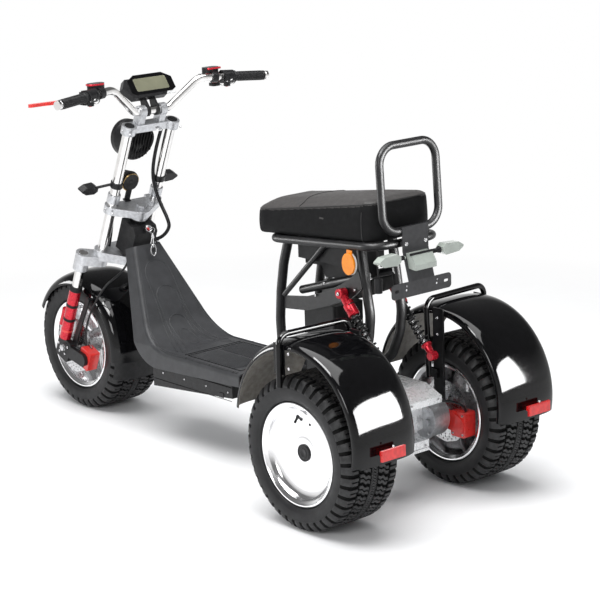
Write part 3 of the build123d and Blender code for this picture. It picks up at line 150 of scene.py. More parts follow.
class Nodes:
    """A small helper around one material's node tree."""

    def __init__(self, name):
        self.material = bpy.data.materials.new(name)
        self.material.use_nodes = True
        self.tree = self.material.node_tree
        self.shader = self.tree.nodes["Principled BSDF"]
        self.place = self.add("ShaderNodeTexCoord").outputs["Object"]

    def add(self, kind, inputs=None, **settings):
        return add_node(self.tree, kind, inputs, **settings)

    def noise(self, scale, detail, stretch=(1, 1, 1)):
        place = self.place
        if stretch != (1, 1, 1):
            place = self.add("ShaderNodeMapping", {"Vector": place, "Scale": stretch}).outputs[0]
        return self.add("ShaderNodeTexNoise", {"Vector": place, "Scale": scale, "Detail": detail}).outputs[0]

    def maths(self, operation, *values):
        return self.add("ShaderNodeMath", dict(enumerate(values)), operation=operation).outputs[0]

    def span(self, value, low, high, start=0.0, end=1.0):
        """A value stretched from one range to another, held at its ends."""
        return self.add("ShaderNodeMapRange", {"Value": value, "From Min": low, "From Max": high,
                                               "To Min": start, "To Max": end}).outputs[0]

    def mix(self, factor, first, second):
        """Two colours mixed by a socket."""
        node = self.add("ShaderNodeMix", data_type="RGBA")
        sockets = {socket.name: socket for socket in node.inputs if socket.enabled}
        self.tree.links.new(factor, sockets["Factor"])
        sockets["A"].default_value, sockets["B"].default_value = (*first, 1), (*second, 1)
        return next(socket for socket in node.outputs if socket.enabled)

    def link(self, value, key):
        self.tree.links.new(value, self.shader.inputs[key])


def shade(colour, factor):
    return tuple(min(1.0, channel * factor) for channel in colour)


def surface(name, colour, roughness, metallic=0.0, spread=0.12, scale=60.0, bump=0.15, bump_scale=900.0,
            bump_depth=0.0004, rough_spread=0.06, edge=0.0012, stretch=(1, 1, 1), coat=0.0, specular=0.5):
    """A procedural finish: mottled colour, uneven gloss, fine relief and slightly rounded edges."""
    n = Nodes(name)
    mottle = n.span(n.noise(scale, 4.0, stretch), 0.35, 0.65)
    n.link(n.mix(mottle, shade(colour, 1 + spread), shade(colour, 1 - 2 * spread)), "Base Color")
    gloss = n.noise(scale * 2.3, 3.0, stretch)
    n.link(n.span(gloss, 0.3, 0.7, max(0.0, roughness - rough_spread), roughness + rough_spread), "Roughness")
    relief = {"Height": n.noise(bump_scale, 2.0, stretch), "Strength": bump, "Distance": bump_depth}
    if edge:
        relief["Normal"] = n.add("ShaderNodeBevel", {"Radius": edge}, samples=4).outputs[0]
    n.link(n.add("ShaderNodeBump", relief).outputs[0], "Normal")
    for key, value in (("Metallic", metallic), ("Coat Weight", coat), ("Coat Roughness", 0.05),
                       ("Specular IOR Level", specular)):
        n.shader.inputs[key].default_value = value
    return n.material


black_paint = surface("black_paint", (0.010, 0.010, 0.011), 0.38, spread=0.2, bump=0.25, bump_scale=1400,
                      specular=0.3)
black_gloss = surface("black_gloss", (0.003, 0.003, 0.0035), 0.07, spread=0.15, bump=0.02, bump_scale=500,
                      rough_spread=0.02, specular=0.3)
black_plastic = surface("black_plastic", (0.012, 0.012, 0.013), 0.46, spread=0.2, bump=0.35, bump_scale=2200,
                        specular=0.3)
fine_plastic = surface("fine_plastic", (0.011, 0.011, 0.012), 0.33, spread=0.15, bump=0.2, bump_scale=3000,
                       specular=0.3)
soft_rubber = surface("soft_rubber", (0.013, 0.013, 0.014), 0.6, spread=0.2, bump=0.3, bump_scale=1800,
                      specular=0.25)
hose_rubber = surface("hose_rubber", (0.007, 0.007, 0.008), 0.36, spread=0.2, bump=0.2, bump_scale=1500,
                      specular=0.3)
chrome = surface("chrome", (0.80, 0.79, 0.78), 0.09, 1.0, spread=0.04, scale=25, bump=0.04, bump_scale=300,
                 rough_spread=0.04)
cast_silver = surface("cast_silver", (0.60, 0.61, 0.63), 0.34, 0.85, spread=0.07, scale=90, bump=0.35,
                      bump_scale=1300, rough_spread=0.07)
sheet_silver = surface("sheet_silver", (0.80, 0.81, 0.82), 0.28, 0.35, spread=0.03, scale=30, bump=0.12,
                       bump_scale=1500)
steel = surface("steel", (0.60, 0.60, 0.61), 0.25, 1.0, spread=0.08, scale=120, bump=0.2, bump_scale=1200,
                stretch=(1, 8, 1))
bright_steel = surface("bright_steel", (0.78, 0.78, 0.79), 0.2, 1.0, spread=0.06, scale=100, bump=0.1)
red_anodised = surface("red_anodised", (0.62, 0.012, 0.03), 0.24, 0.55, spread=0.08, scale=70, bump=0.08,
                       bump_scale=1500, coat=0.3)
red_paint = surface("red_paint", (0.72, 0.035, 0.03), 0.32, 0.0, spread=0.07, scale=50, bump=0.3,
                    bump_scale=1000, coat=0.4)
grip_rubber = surface("grip_rubber", (0.013, 0.013, 0.014), 0.5, spread=0.2, bump=0.5, bump_scale=1500,
                      specular=0.3)
beige_plastic = surface("beige_plastic", (0.30, 0.28, 0.25), 0.6, spread=0.12, bump=0.3, bump_scale=900)
bracket_grey = surface("bracket_grey", (0.045, 0.045, 0.048), 0.42, spread=0.1, bump=0.2, bump_scale=1200,
                       specular=0.4)

# ---- studio
def floor_material():
    """Pale floor near the trike that fades out into the white background."""
    n = Nodes("pale_floor")
    tree = n.tree
    grain = n.noise(6.0, 4.0)
    n.link(n.mix(n.span(grain, 0.3, 0.7), (0.93, 0.93, 0.935), (0.955, 0.955, 0.96)), "Base Color")
    n.shader.inputs["Roughness"].default_value = 0.9
    n.shader.inputs["Specular IOR Level"].default_value = 0.1
    ray = n.add("ShaderNodeLightPath")
    distance = n.add("ShaderNodeVectorMath", {0: n.place}, operation="LENGTH").outputs["Value"]
    fade = n.span(distance, 1.5, 3.2)
    glow = n.add("ShaderNodeEmission", {"Color": (1, 1, 1, 1), "Strength": 1.0})
    seen = n.maths("MAXIMUM", ray.outputs["Is Camera Ray"],
                   n.maths("MAXIMUM", ray.outputs["Is Glossy Ray"], ray.outputs["Is Transmission Ray"]))
    mixer = n.add("ShaderNodeMixShader", {0: n.maths("MULTIPLY", fade, seen)})
    tree.links.new(n.shader.outputs[0], mixer.inputs[1])
    tree.links.new(glow.outputs[0], mixer.inputs[2])
    tree.links.new(mixer.outputs[0], tree.nodes["Material Output"].inputs["Surface"])
    return n.material


floor_reach = 14.0
floor_mesh = bpy.data.meshes.new("studio_floor")
floor_corners = ((-1, -1), (1, -1), (1, 1), (-1, 1))
floor_mesh.from_pydata([(x * floor_reach, y * floor_reach, 0) for x, y in floor_corners], [], [(0, 1, 2, 3)])
floor_mesh.update()
floor_mesh.materials.append(floor_material())
floor = new_object("studio_floor", floor_mesh)
floor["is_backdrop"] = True

world = bpy.data.worlds.new("studio")
bpy.context.scene.world = world
world.use_nodes = True
sky = world.node_tree


def sky_node(kind, inputs=None, **settings):
    return add_node(sky, kind, inputs, **settings).outputs[0]


ray = sky.nodes.new("ShaderNodeLightPath")
height = add_node(sky, "ShaderNodeSeparateXYZ", {0: sky_node("ShaderNodeTexCoord")}).outputs["Z"]
band = sky_node("ShaderNodeMapRange", {"Value": height, "From Min": 0.10, "From Max": 0.42,
                                       "To Min": 0.85, "To Max": 0.16})
mirrored = sky_node("ShaderNodeBackground", {"Color": (1, 1, 1, 1), "Strength": band})
fill = sky_node("ShaderNodeBackground", {"Color": (0.96, 0.98, 1.0, 1), "Strength": 0.42})
plain = sky_node("ShaderNodeBackground", {"Color": (1, 1, 1, 1), "Strength": 1.0})
seen = sky_node("ShaderNodeMath", {0: ray.outputs["Is Camera Ray"], 1: ray.outputs["Is Transmission Ray"]},
                operation="MAXIMUM")
lit = sky_node("ShaderNodeMixShader", {0: ray.outputs["Is Glossy Ray"], 1: fill, 2: mirrored})
shown = sky_node("ShaderNodeMixShader", {0: seen, 1: lit, 2: plain})
sky.links.new(shown, sky.nodes["World Output"].inputs["Surface"])


def softbox(name, place, target, width, height, watts):
    """A soft rectangular lamp that looks at a target."""
    data = bpy.data.lights.new(name, "AREA")
    data.shape = "RECTANGLE"
    data.size, data.size_y = width, height
    data.energy = watts
    lamp = new_object(name, data)
    lamp.location = place
    lamp.rotation_euler = (Vector(target) - Vector(place)).to_track_quat("-Z", "Y").to_euler()
    return lamp


glossy_pieces = bpy.data.collections.new("glossy_pieces")
for name in ("front_fender rear_fender_left rear_fender_right fender_hoops backrest_hoop seat_frame "
             "front_tyre rear_tyre_left rear_tyre_right").split():
    glossy_pieces.objects.link(nodes[name])
for name, place, target, width, depth, watts, mirrored_only in (
    ("overhead", (-0.3, 0.5, 4.2), (-0.1, 0, 0.3), 4.4, 3.2, 250, False),
    ("left_side", (-2.4, 4.4, 2.4), (-0.3, 0, 0.5), 1.5, 1.5, 70, False),
    ("rear_window", (-3.7, -0.95, 1.32), (-1.0, 0.3, 0.45), 3.0, 1.6, 620, True),
    ("high_left", (-0.75, 1.45, 3.2), (-0.8, -0.3, 0.6), 1.5, 0.9, 110, True),
    ("front_low", (3.4, 2.6, 1.0), (0.6, 0, 0.5), 2.2, 1.4, 160, True),
):
    lamp = softbox(name, place, target, width, depth, watts)
    lamp.visible_diffuse = not mirrored_only
    if mirrored_only:
        lamp.light_linking.receiver_collection = glossy_pieces

# ---- finishes of the CAD pieces
deck_plastic = surface("deck_plastic", (0.040, 0.041, 0.044), 0.42, spread=0.08, scale=30, bump=0.4,
                       bump_scale=1500, specular=0.4)
amber = surface("amber", (0.95, 0.28, 0.01), 0.2, spread=0.08, bump=0.3, bump_scale=500, coat=0.4)
clear_lens = surface("clear_lens", (0.40, 0.44, 0.40), 0.08, spread=0.04, scale=30, bump=0.25, bump_scale=200,
                     coat=0.6)
lens_glass = surface("lens_glass", (0.5, 0.52, 0.55), 0.05, spread=0.1, scale=60, bump=0.3, bump_scale=300)
reflector_red = surface("reflector_red", (0.72, 0.02, 0.02), 0.18, spread=0.08, bump=0.5, bump_scale=400,
                        coat=0.4)
finishes = {
    black_paint: "main_frame seat_frame backrest_hoop fender_straps axle_brackets underseat_box battery_pack "
                 "battery_box",
    black_gloss: "front_fender rear_fender_left rear_fender_right fender_hoops",
    black_plastic: "head_cover key_switch mud_flap charge_cap horn",
    deck_plastic: "footboard",
    amber: "side_reflectors",
    clear_lens: "rear_lamps",
    reflector_red: "rear_reflectors",
    lens_glass: "headlight_lens",
    red_paint: "front_caliper rear_calipers brake_levers",
    fine_plastic: "switch_housings master_cylinders display headlight front_indicators",
    chrome: "fork_tubes stanchions handlebar",
    cast_silver: "top_clamp middle_clamp yoke wheel_carriers",
    sheet_silver: "axle_box",
    steel: "front_axle front_disc rear_disc_left rear_disc_right",
    bright_steel: "front_rim rear_rim_left rear_rim_right",
    red_anodised: "lower_legs rear_shocks",
    bracket_grey: "tail_bracket",
    grip_rubber: "grips seat",
    soft_rubber: "front_tyre rear_tyre_left rear_tyre_right",
    hose_rubber: "harness_upper harness_lower conduit brake_hose_upper brake_hose_lower rear_brake_hoses",
}
crease = math.radians(28)
for material, names in finishes.items():
    for name in names.split():
        data = nodes[name].data
        data.materials.clear()
        data.materials.append(material)
        data.shade_smooth()
        data.set_sharp_from_angle(angle=crease)

# ---- shape tools
def axes_of(axis):
    """Two directions square to an axis, and the axis itself."""
    axis = Vector(axis).normalized()
    helper = Vector((0, 0, 1)) if abs(axis.z) < 0.9 else Vector((1, 0, 0))
    first = helper.cross(axis).normalized()
    return first, axis.cross(first), axis


def ring_faces(total, count):
    """Faces between rings of count verts each, and one across each end."""
    rings = range(0, total - count, count)
    sides = [(low + k, low + (k + 1) % count, low + count + (k + 1) % count, low + count + k)
             for low in rings for k in range(count)]
    return [*sides, tuple(reversed(range(count))), tuple(range(total - count, total))]


class Shape:
    """Geometry gathered into one piece, each face with its own finish."""

    def __init__(self, name):
        self.name, self.verts, self.faces, self.marks, self.materials = name, [], [], [], []

    def add(self, verts, faces, material):
        if material not in self.materials:
            self.materials.append(material)
        start = len(self.verts)
        self.verts += [Vector(vert) for vert in verts]
        self.faces += [tuple(start + index for index in face) for face in faces]
        self.marks += [self.materials.index(material)] * len(faces)
        return self

    def lathe(self, profile, origin, axis, material, segments=64, loop=False):
        """A profile of (along, radius) in millimetres, turned about an axis."""
        first, second, axis = axes_of(axis)
        origin = Vector(origin)
        verts, rings, faces = [], [], []
        for along, radius in profile:
            middle = origin + axis * along / 1000
            on_axis = radius < 0.01
            count = 1 if on_axis else segments
            rings.append(range(len(verts), len(verts) + count))
            verts += [middle] if on_axis else [
                middle + (first * math.cos(angle) + second * math.sin(angle)) * radius / 1000
                for angle in turns(segments)]
        for near, far in list(zip(rings, rings[1:])) + ([(rings[-1], rings[0])] if loop else []):
            for step in range(segments):
                after = (step + 1) % segments
                if len(near) == 1:
                    faces.append((near[0], far[after], far[step]))
                elif len(far) == 1:
                    faces.append((near[step], near[after], far[0]))
                else:
                    faces.append((near[step], near[after], far[after], far[step]))
        return self.add(verts, faces, material)

    def prism(self, outline, origin, across, up, depth, material, chamfer=0.0):
        """A flat outline in millimetres, given depth square to its plane, with chamfered edges."""
        across, up = Vector(across).normalized(), Vector(up).normalized()
        normal = across.cross(up)
        origin = Vector(origin)
        area = sum(a[0] * b[1] - b[0] * a[1] for a, b in zip(outline, outline[1:] + outline[:1]))
        if area < 0:
            outline = outline[::-1]
        count = len(outline)
        inner = []
        for index, here in enumerate(outline):
            before, after = Vector(outline[index - 1]), Vector(outline[(index + 1) % count])
            here = Vector(here)
            one, two = (here - before).normalized(), (after - here).normalized()
            inward = Vector((-one.y - two.y, one.x + two.x))
            inward = inward.normalized() if inward.length > 1e-6 else Vector((-one.y, one.x))
            inner.append(here + inward * chamfer / max(0.35, inward.dot(Vector((-one.y, one.x)))))
        levels = [(inner, 0), (outline, chamfer), (outline, depth - chamfer), (inner, depth)]
        if not chamfer:
            levels = [(outline, 0), (outline, depth)]
        verts = [origin + (across * p[0] + up * p[1] + normal * height) / 1000
                 for points, height in levels for p in points]
        return self.add(verts, ring_faces(len(verts), count), material)

    def block(self, size, origin, across, up, material, chamfer=1.0):
        """A chamfered box: size across, up and deep, its middle at the origin."""
        wide, high, deep = size
        normal = Vector(across).normalized().cross(Vector(up).normalized())
        outline = [(-wide / 2, -high / 2), (wide / 2, -high / 2), (wide / 2, high / 2), (-wide / 2, high / 2)]
        return self.prism(outline, Vector(origin) - normal * deep / 2000, across, up, deep, material, chamfer)

    def tube(self, points, radius, material, sides=8):
        """A round line through points in metres, radius in millimetres."""
        points = [Vector(point) for point in points]
        tangent = (points[1] - points[0]).normalized()
        first, second, _ = axes_of(tangent)
        verts = []
        for index, point in enumerate(points):
            before, after = points[max(0, index - 1)], points[min(len(points) - 1, index + 1)]
            fresh = (after - before).normalized()
            turn_by = tangent.rotation_difference(fresh)
            first, second, tangent = turn_by @ first, turn_by @ second, fresh
            verts += [point + (first * math.cos(angle) + second * math.sin(angle)) * radius / 1000
                      for angle in turns(sides)]
        return self.add(verts, ring_faces(len(verts), sides), material)

    def bolt(self, place, axis, radius, height, material):
        """A small cap screw with a socket, which stands out along an axis."""
        socket = radius * 0.5
        return self.lathe([(0, radius), (height * 0.55, radius), (height * 0.9, radius * 0.8),
                           (height, radius * 0.55), (height, socket), (height * 0.45, socket),
                           (height * 0.45, 0)], place, axis, material, 20)

    def make(self, body, slot, replaces=(), sharp=32.0):
        mesh = bpy.data.meshes.new(self.name)
        mesh.from_pydata([tuple(vert) for vert in self.verts], [], self.faces)
        for material in self.materials:
            mesh.materials.append(material)
        mesh.polygons.foreach_set("material_index", self.marks)
        mesh.update()
        work = bmesh.new()
        work.from_mesh(mesh)
        bmesh.ops.recalc_face_normals(work, faces=work.faces)
        work.to_mesh(mesh)
        work.free()
        mesh.shade_smooth()
        mesh.set_sharp_from_angle(angle=math.radians(sharp))
        piece = new_object(self.name, mesh)
        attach(piece, body)
        if replaces:
            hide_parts(*replaces)
        return piece


def oval(wide, high, count=48, middle=(0, 0)):
    """Points round an oval with these half sizes."""
    return [(middle[0] + wide * math.cos(angle), middle[1] + high * math.sin(angle))
            for angle in turns(count)]


def closed(points):
    return [*points, points[0]]


def circle(radius, count, middle=(0, 0)):
    return oval(radius, radius, count, middle)


def rounded(width, height, radius, count=5, middle=(0, 0)):
    """A rounded rectangle's outline."""
    points = []
    for index, (sx, sy) in enumerate(((1, -1), (1, 1), (-1, 1), (-1, -1))):
        corner = (middle[0] + sx * (width / 2 - radius), middle[1] + sy * (height / 2 - radius))
        for step in range(count + 1):
            angle = math.pi / 2 * (index - 1 + step / count)
            points.append((corner[0] + radius * math.cos(angle), corner[1] + radius * math.sin(angle)))
    return points


def pierced_plate(shape, outlines, origin, across, up, thickness, material):
    """A flat plate of one outline with holes in it, added to a shape."""
    curve = bpy.data.curves.new("plate", "CURVE")
    curve.dimensions = "2D"
    curve.fill_mode = "BOTH"
    curve.extrude = thickness / 2000
    for outline in outlines:
        spline = curve.splines.new("POLY")
        spline.points.add(len(outline) - 1)
        spline.use_cyclic_u = True
        for point, (x, y) in zip(spline.points, outline):
            point.co = (x / 1000, y / 1000, 0, 1)
    holder = new_object("plate", curve)
    mesh = evaluated_mesh(holder)
    across, up = Vector(across).normalized(), Vector(up).normalized()
    normal = across.cross(up)
    shape.add([Vector(origin) + across * v.co.x + up * v.co.y + normal * v.co.z for v in mesh.vertices],
              [tuple(face.vertices) for face in mesh.polygons], material)
    bpy.data.objects.remove(holder)
    bpy.data.meshes.remove(mesh)


# ---- hoses and wires
def hose(name, points, radius, material):
    """A hose as a smooth NURBS line through its control points, turned into a mesh."""
    curve = bpy.data.curves.new(name, "CURVE")
    curve.dimensions = "3D"
    curve.bevel_depth = radius / 1000
    curve.bevel_resolution = 3
    curve.use_fill_caps = True
    curve.resolution_u = 8
    spline = curve.splines.new("NURBS")
    spline.points.add(len(points) - 1)
    for control, place in zip(spline.points, points):
        control.co = (*place, 1)
    spline.order_u = 3
    spline.use_endpoint_u = True
    holder = new_object(name, curve)
    mesh = evaluated_mesh(holder)
    bpy.data.objects.remove(holder)
    mesh.materials.clear()
    mesh.materials.append(material)
    mesh.shade_smooth()
    piece = new_object(name, mesh)
    return piece


harness_route = [steer(*place) for place in (
    (58, -64, 287), (61, -64, 240), (62, -64, 192), (60, -64, 150), (54, -64, 112), (42, -65, 76),
    (20, -69, 42), (-6, -72, 16), (-34, -72, -2), (-66, -72, -19), (-92, -71, -38), (-96, -70, -52),
    (-93, -67, -71), (-87, -61, -89), (-79, -52, -103), (-67.5, -41, -115))]
harness = hose("wiring_harness", harness_route, 6.5, hose_rubber)
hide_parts("harness_upper", "harness_lower")
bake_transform(harness)

conduit = hose("cable_conduit", [steer(*place) for place in (
    (56, 65, 287), (62, 64, 240), (66, 63, 190), (68, 63, 138), (67, 62, 84), (66, 62, 30), (67, 61, -20),
    (69, 60, -68), (66, 59, -112), (57, 59, -152), (54, 59, -199))], 4.5, hose_rubber)
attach(conduit, "steering")
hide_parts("conduit")

front_hose_route = [steer(*place) for place in (
    (-57, 53.9, -176), (-74, 67, -184), (-88, 86, -196), (-93, 106, -214), (-88, 122, -236),
    (-76.5, 129.6, -257), (-73.5, 130.6, -262.6), (-62, 133, -284), (-49, 134, -314), (-36, 134, -346),
    (-24, 134, -384), (-13, 134, -424), (-6, 133, -466), (-4, 132, -508), (-8, 131, -544), (-22, 130, -580))]
front_hose = hose("front_brake_hose", front_hose_route, 4, hose_rubber)
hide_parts("brake_hose_upper", "brake_hose_lower")
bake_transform(front_hose)

# ---- tyres
tread_rubber = surface("tread_rubber", (0.014, 0.014, 0.015), 0.5, spread=0.25, scale=70, bump=0.35,
                       bump_scale=1300, edge=0.0, rough_spread=0.08, specular=0.45)
sidewall_rubber = surface("sidewall_rubber", (0.015, 0.015, 0.016), 0.48, spread=0.12, scale=25, bump=0.2,
                          bump_scale=900, edge=0.0, rough_spread=0.05, specular=0.3)
# The rubber between the tread blocks is painted darker than the tread: painted shade down in the grooves.
tread_groove_painted_shade = surface("tread_groove_painted_shade", (0.006, 0.006, 0.006), 0.8, spread=0.1, scale=25, bump=0.2,
                        bump_scale=900, edge=0.0, specular=0.1)
carcass_line = [
    (94.5, 153.0), (95.2, 168.2), (99.0, 170.2), (103.0, 172.0), (105.5, 173.6), (106.6, 176.0),
    (106.9, 179.0), (108.6, 181.5), (110.6, 189.0), (111.7, 197.0), (111.9, 205.0), (111.2, 213.0),
    (109.6, 214.2), (108.9, 219.0), (106.6, 225.0), (103.2, 230.4), (98.0, 235.2), (90.0, 238.2),
    (72.0, 239.4), (36.0, 240.0), (0.0, 240.2)]
tyre_radius = 248.0
pitch_count = 40
tread_pitch = 2 * math.pi * tyre_radius / pitch_count
tread_edge, shoulder_width, shoulder_drop = 88, 22, 25.0  # where the tread turns down, and how far
crown_drop = 1.5
carcass_across = [point[0] for point in reversed(carcass_line[11:])]
carcass_radius = [point[1] for point in reversed(carcass_line[11:])]


def tread_top(across):
    across = abs(across)
    if across <= tread_edge:
        return tyre_radius - crown_drop * (across / tread_edge) ** 2
    return tyre_radius - crown_drop - shoulder_drop * ((across - tread_edge) / shoulder_width) ** 1.7


def tread_base(across):
    return float(np.interp(abs(across), carcass_across, carcass_radius)) - 1.5


def tread_strip(stations, chamfer=1.3):
    """Verts and faces of one tread block along stations of (across, low edge, high edge)."""
    verts, faces = [], []
    last = len(stations) - 1
    for index, (across, low, high) in enumerate(stations):
        drop = chamfer if index in (0, last) else 0.0
        top, base = tread_top(across) - drop, tread_base(across)
        verts += [(across, low, base), (across, low, top - chamfer), (across, low + chamfer, top),
                  (across, high - chamfer, top), (across, high, top - chamfer), (across, high, base)]
    for index in range(last):
        for side in range(5):
            a, b = index * 6 + side, (index + 1) * 6 + side
            faces.append((a, a + 1, b + 1, b))
    faces += [tuple(range(6)), tuple(reversed(range(last * 6, last * 6 + 6)))]
    return verts, faces


def zigzag(across, corners):
    """A block edge's place along the tread, at one place across it."""
    return float(np.interp(across, *zip(*corners)))


def tread_blocks():
    """All the blocks of one pitch, as (verts, faces), with across to the left and along the tread."""
    blocks = []
    middle_turns = [(15, 8.5), (26, 1.0), (36, 3.5), (47, -8.0), (59, -8.5)]
    for side in (1, -1):
        offset = 0 if side > 0 else tread_pitch / 2
        for low, high in ((-13.4, -1.6), (1.6, 13.4)):
            inward = 63 if low < 0 else 67
            blocks.append((side, offset, [(a, low, high) for a in (inward, inward + 1.5, 76, 88, 92)]))
        blocks.append((side, offset, [(a, -12.8, 12.8) for a in (90.5, 92, 97, 102, 106, 109.5, 110.5)]))
        for low, high in ((-14.2, -2.0), (2.0, 14.2)):
            blocks.append((side, offset, [(a, low + zigzag(a, middle_turns), high + zigzag(a, middle_turns))
                                          for a in (16.5, 18, 26, 36, 47, 57, 58.5)]))
    centre_turns = [(-14, -9.0), (-4, 3.0), (4, -3.0), (14, 9.0)]
    for low, high in ((-8.64, -1.08), (1.08, 8.64)):
        for offset in (4, 4 + tread_pitch / 2):
            blocks.append((1, offset, [(a, low + zigzag(a, centre_turns), high + zigzag(a, centre_turns))
                                       for a in (-12.5, -11, -4, 4, 11, 12.5)]))
    shapes = []
    for side, offset, stations in blocks:
        verts, faces = tread_strip(stations)
        shapes.append(([(side * a, side * along + offset, radius) for a, along, radius in verts], faces))
    return shapes


def make_tyre(name, node, axle, body):
    tyre = Shape(name)
    line = [(-across, radius) for across, radius in carcass_line] + \
           [(across, radius) for across, radius in reversed(carcass_line[:-1])]
    tyre.lathe(line[:13], axle, sideways, sidewall_rubber, 160)
    # The band under the tread blocks gets the darker rubber, painted shade between the blocks.
    tyre.lathe(line[12:-12], axle, sideways, tread_groove_painted_shade, 160)
    tyre.lathe(line[-13:] + line[:1], axle, sideways, sidewall_rubber, 160)
    one_pitch = tread_blocks()
    for number in range(pitch_count):
        for verts, faces in one_pitch:
            placed = []
            for across, along, radius in verts:
                angle = (number * tread_pitch + along) / tyre_radius
                placed.append(axle + Vector((radius * math.cos(angle), across, radius * math.sin(angle)))
                              / 1000)
            tyre.add(placed, faces, tread_rubber)
    tyre.make(body, "tyre_black", [node], sharp=40)


make_tyre("front_knobby_tyre", "front_tyre", front_axle, "front_wheel")
for hand, axle in rear_axles.items():
    make_tyre(f"rear_knobby_tyre_{hand}", f"rear_tyre_{hand}", axle, f"rear_wheel_{hand}")

# ---- rims and discs
polished = surface("polished_rim", (0.93, 0.93, 0.94), 0.16, 1.0, spread=0.03, scale=18, bump=0.10,
                   bump_scale=140, rough_spread=0.05, edge=0.0)
satin_alloy = surface("satin_alloy", (0.70, 0.70, 0.71), 0.3, 0.9, spread=0.06, scale=60, bump=0.25,
                      bump_scale=900, edge=0.0)


def barrel_profile():
    """A rim barrel's closed section: rounded flanges, bead seats and the inside wall."""
    half = [(0, 152.2), (60, 152.2), (88, 152.4), (93.5, 153.2), (95.0, 155.5), (95.4, 164.0), (96.6, 166.6),
            (99.0, 167.5), (101.6, 166.8), (103.0, 164.4), (102.6, 161.0), (99.5, 157.8), (97.4, 154.0),
            (94.0, 149.2), (86.0, 147.0), (0, 146.8)]
    return half + [(-across, radius) for across, radius in reversed(half[1:-1])]


disc_radius, disc_bore, disc_thickness = 104, 20.5, 3.6
wave_height, wave_count, wave_steps = 1, 12, 144
hole_rows = (  # place out from the axle, count, hole radius, corners and phase of every row
    (96, 30, 3.0, 8, 0.0), (87, 30, 3.0, 8, 0.5), (78, 24, 2.8, 8, 0.0), (55, 6, 12, 14, 0.0))


def drilled_disc(shape, centre, side, material):
    """A brake disc with a wavy rim, rows of small holes and six windows."""
    holes = [circle(size, corners, (out * math.cos(a), out * math.sin(a)))
             for out, count, size, corners, phase in hole_rows for a in turns(count, phase)]
    wave = []
    for angle in turns(wave_steps):
        out = disc_radius + wave_height * math.cos(wave_count * angle)
        wave.append((out * math.cos(angle), out * math.sin(angle)))
    pierced_plate(shape, [wave, circle(disc_bore, 32), *holes], centre + sideways * side, (1, 0, 0),
                  (0, 0, 1), disc_thickness, material)


def rear_wheel(hand, sign):
    axle = rear_axles[hand]
    outward = sideways * sign
    rim = Shape(f"rear_wheel_rim_{hand}")
    rim.lathe(barrel_profile(), axle, outward, polished, 128, loop=True)
    dish = [(93.5, 149.0), (90.5, 147.4), (86, 145.6), (80, 141.5), (75, 134), (71.6, 122), (69.4, 104),
            (68.0, 82), (67.2, 60), (67.0, 52), (68.2, 49), (69.0, 46), (69.0, 0)]
    back = [(56, 0), (56, 60), (60, 90), (63, 120), (68, 136), (76, 144), (86, 147.2)]
    rim.lathe(dish, axle, outward, polished, 128)
    rim.lathe(back, axle, outward, satin_alloy, 96)
    hub = [(-93, 15.2), (-93, 34), (-90, 38), (20, 38), (32, 44), (57, 52)]
    rim.lathe(hub, axle, outward, satin_alloy, 64)
    rib = [(36, 22), (60, 20), (110, 38), (147, 42), (147, 70), (60, 58), (36, 57)]
    rib_count, rib_start, rib_thickness = 5, 0.3, 14
    for angle in turns(rib_count):
        radial = wheel_out(angle + rib_start)
        rim.prism(rib, axle + radial.cross(outward) * rib_thickness / 2000, radial, outward, rib_thickness,
                  satin_alloy, 2)
    cap = [(69, 28), (73.5, 28), (75, 26.6), (75.4, 24), (74.2, 22.5), (74.2, 16), (75.6, 14.8), (75.8, 10),
           (75.0, 8.4), (75.0, 0)]
    rim.lathe(cap, axle, outward, fine_plastic, 48)
    valve = [(-3, 0), (-3, 5.4), (2, 5.6), (5, 4.4), (14, 3.6), (15, 4.4), (21, 4.4), (22, 3.4), (22, 0)]
    valve_place, valve_lean = axle + mm(25, 0, 112) + outward * 0.0705, outward * 0.6 + Vector((0, 0, -0.8))
    rim.lathe(valve, valve_place, valve_lean, fine_plastic, 20)
    plug = [(0, 0), (0, 4.2), (0.8, 4.6), (1.2, 3.6), (1.2, 0)]
    rim.lathe(plug, axle + mm(-30, 0, 97) + outward * 0.0693, outward, fine_plastic, 16)
    bolt_count, bolt_start, bolt_reach = 8, 0.2, 0.157
    for angle in turns(bolt_count):
        rim.bolt(axle - outward * 0.093 + wheel_out(angle + bolt_start) * bolt_reach, -outward, 4, 3, steel)
    rim.make(f"rear_wheel_{hand}", "rim_polished", [f"rear_rim_{hand}"])
    low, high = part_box(f"rear_disc_{hand}")
    disc = Shape(f"drilled_rear_disc_{hand}")
    drilled_disc(disc, Vector((axle.x, 0, axle.z)), (low.y + high.y) / 2, steel)
    disc.make(f"rear_wheel_{hand}", "steel", [f"rear_disc_{hand}"])


for hand, sign in hands.items():
    rear_wheel(hand, sign)

front_rim = Shape("front_spoked_rim")
front_rim.lathe(barrel_profile(), front_axle, sideways, polished, 128, loop=True)
for angle in turns(6, 0.5):
    radial = wheel_out(angle)
    around = radial.cross(sideways)
    front_rim.prism([(34, -17), (34, 17), (60, 13), (100, 18), (128, 27), (149, 44), (149, -44), (128, -27),
                     (100, -18), (60, -13)], front_axle + sideways * 0.013, radial, around, 26, satin_alloy,
                    4)
    front_rim.prism([(46, -5), (46, 5), (100, 8), (136, 18), (136, -18), (100, -8)],
                    front_axle + sideways * 0.0155, radial, around, 2.6, polished, 1)
front_rim.lathe([(-88, 8.1), (-88, 34), (-84, 38), (-24, 38), (-18, 44), (18, 44), (24, 38), (112, 38),
                 (117.5, 34), (117.5, 8.1)], front_axle, sideways, satin_alloy, 64)
front_rim.make("front_wheel", "rim_polished", ["front_rim"])
front_disc = Shape("drilled_front_disc")
low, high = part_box("front_disc")
drilled_disc(front_disc, Vector((front_axle.x, 0, front_axle.z)), (low.y + high.y) / 2, steel)
for angle in turns(6):
    front_disc.bolt(front_axle + sideways * high.y + wheel_out(angle) * 0.030, sideways, 4, 3, steel)
front_disc.make("front_wheel", "steel", ["front_disc"])
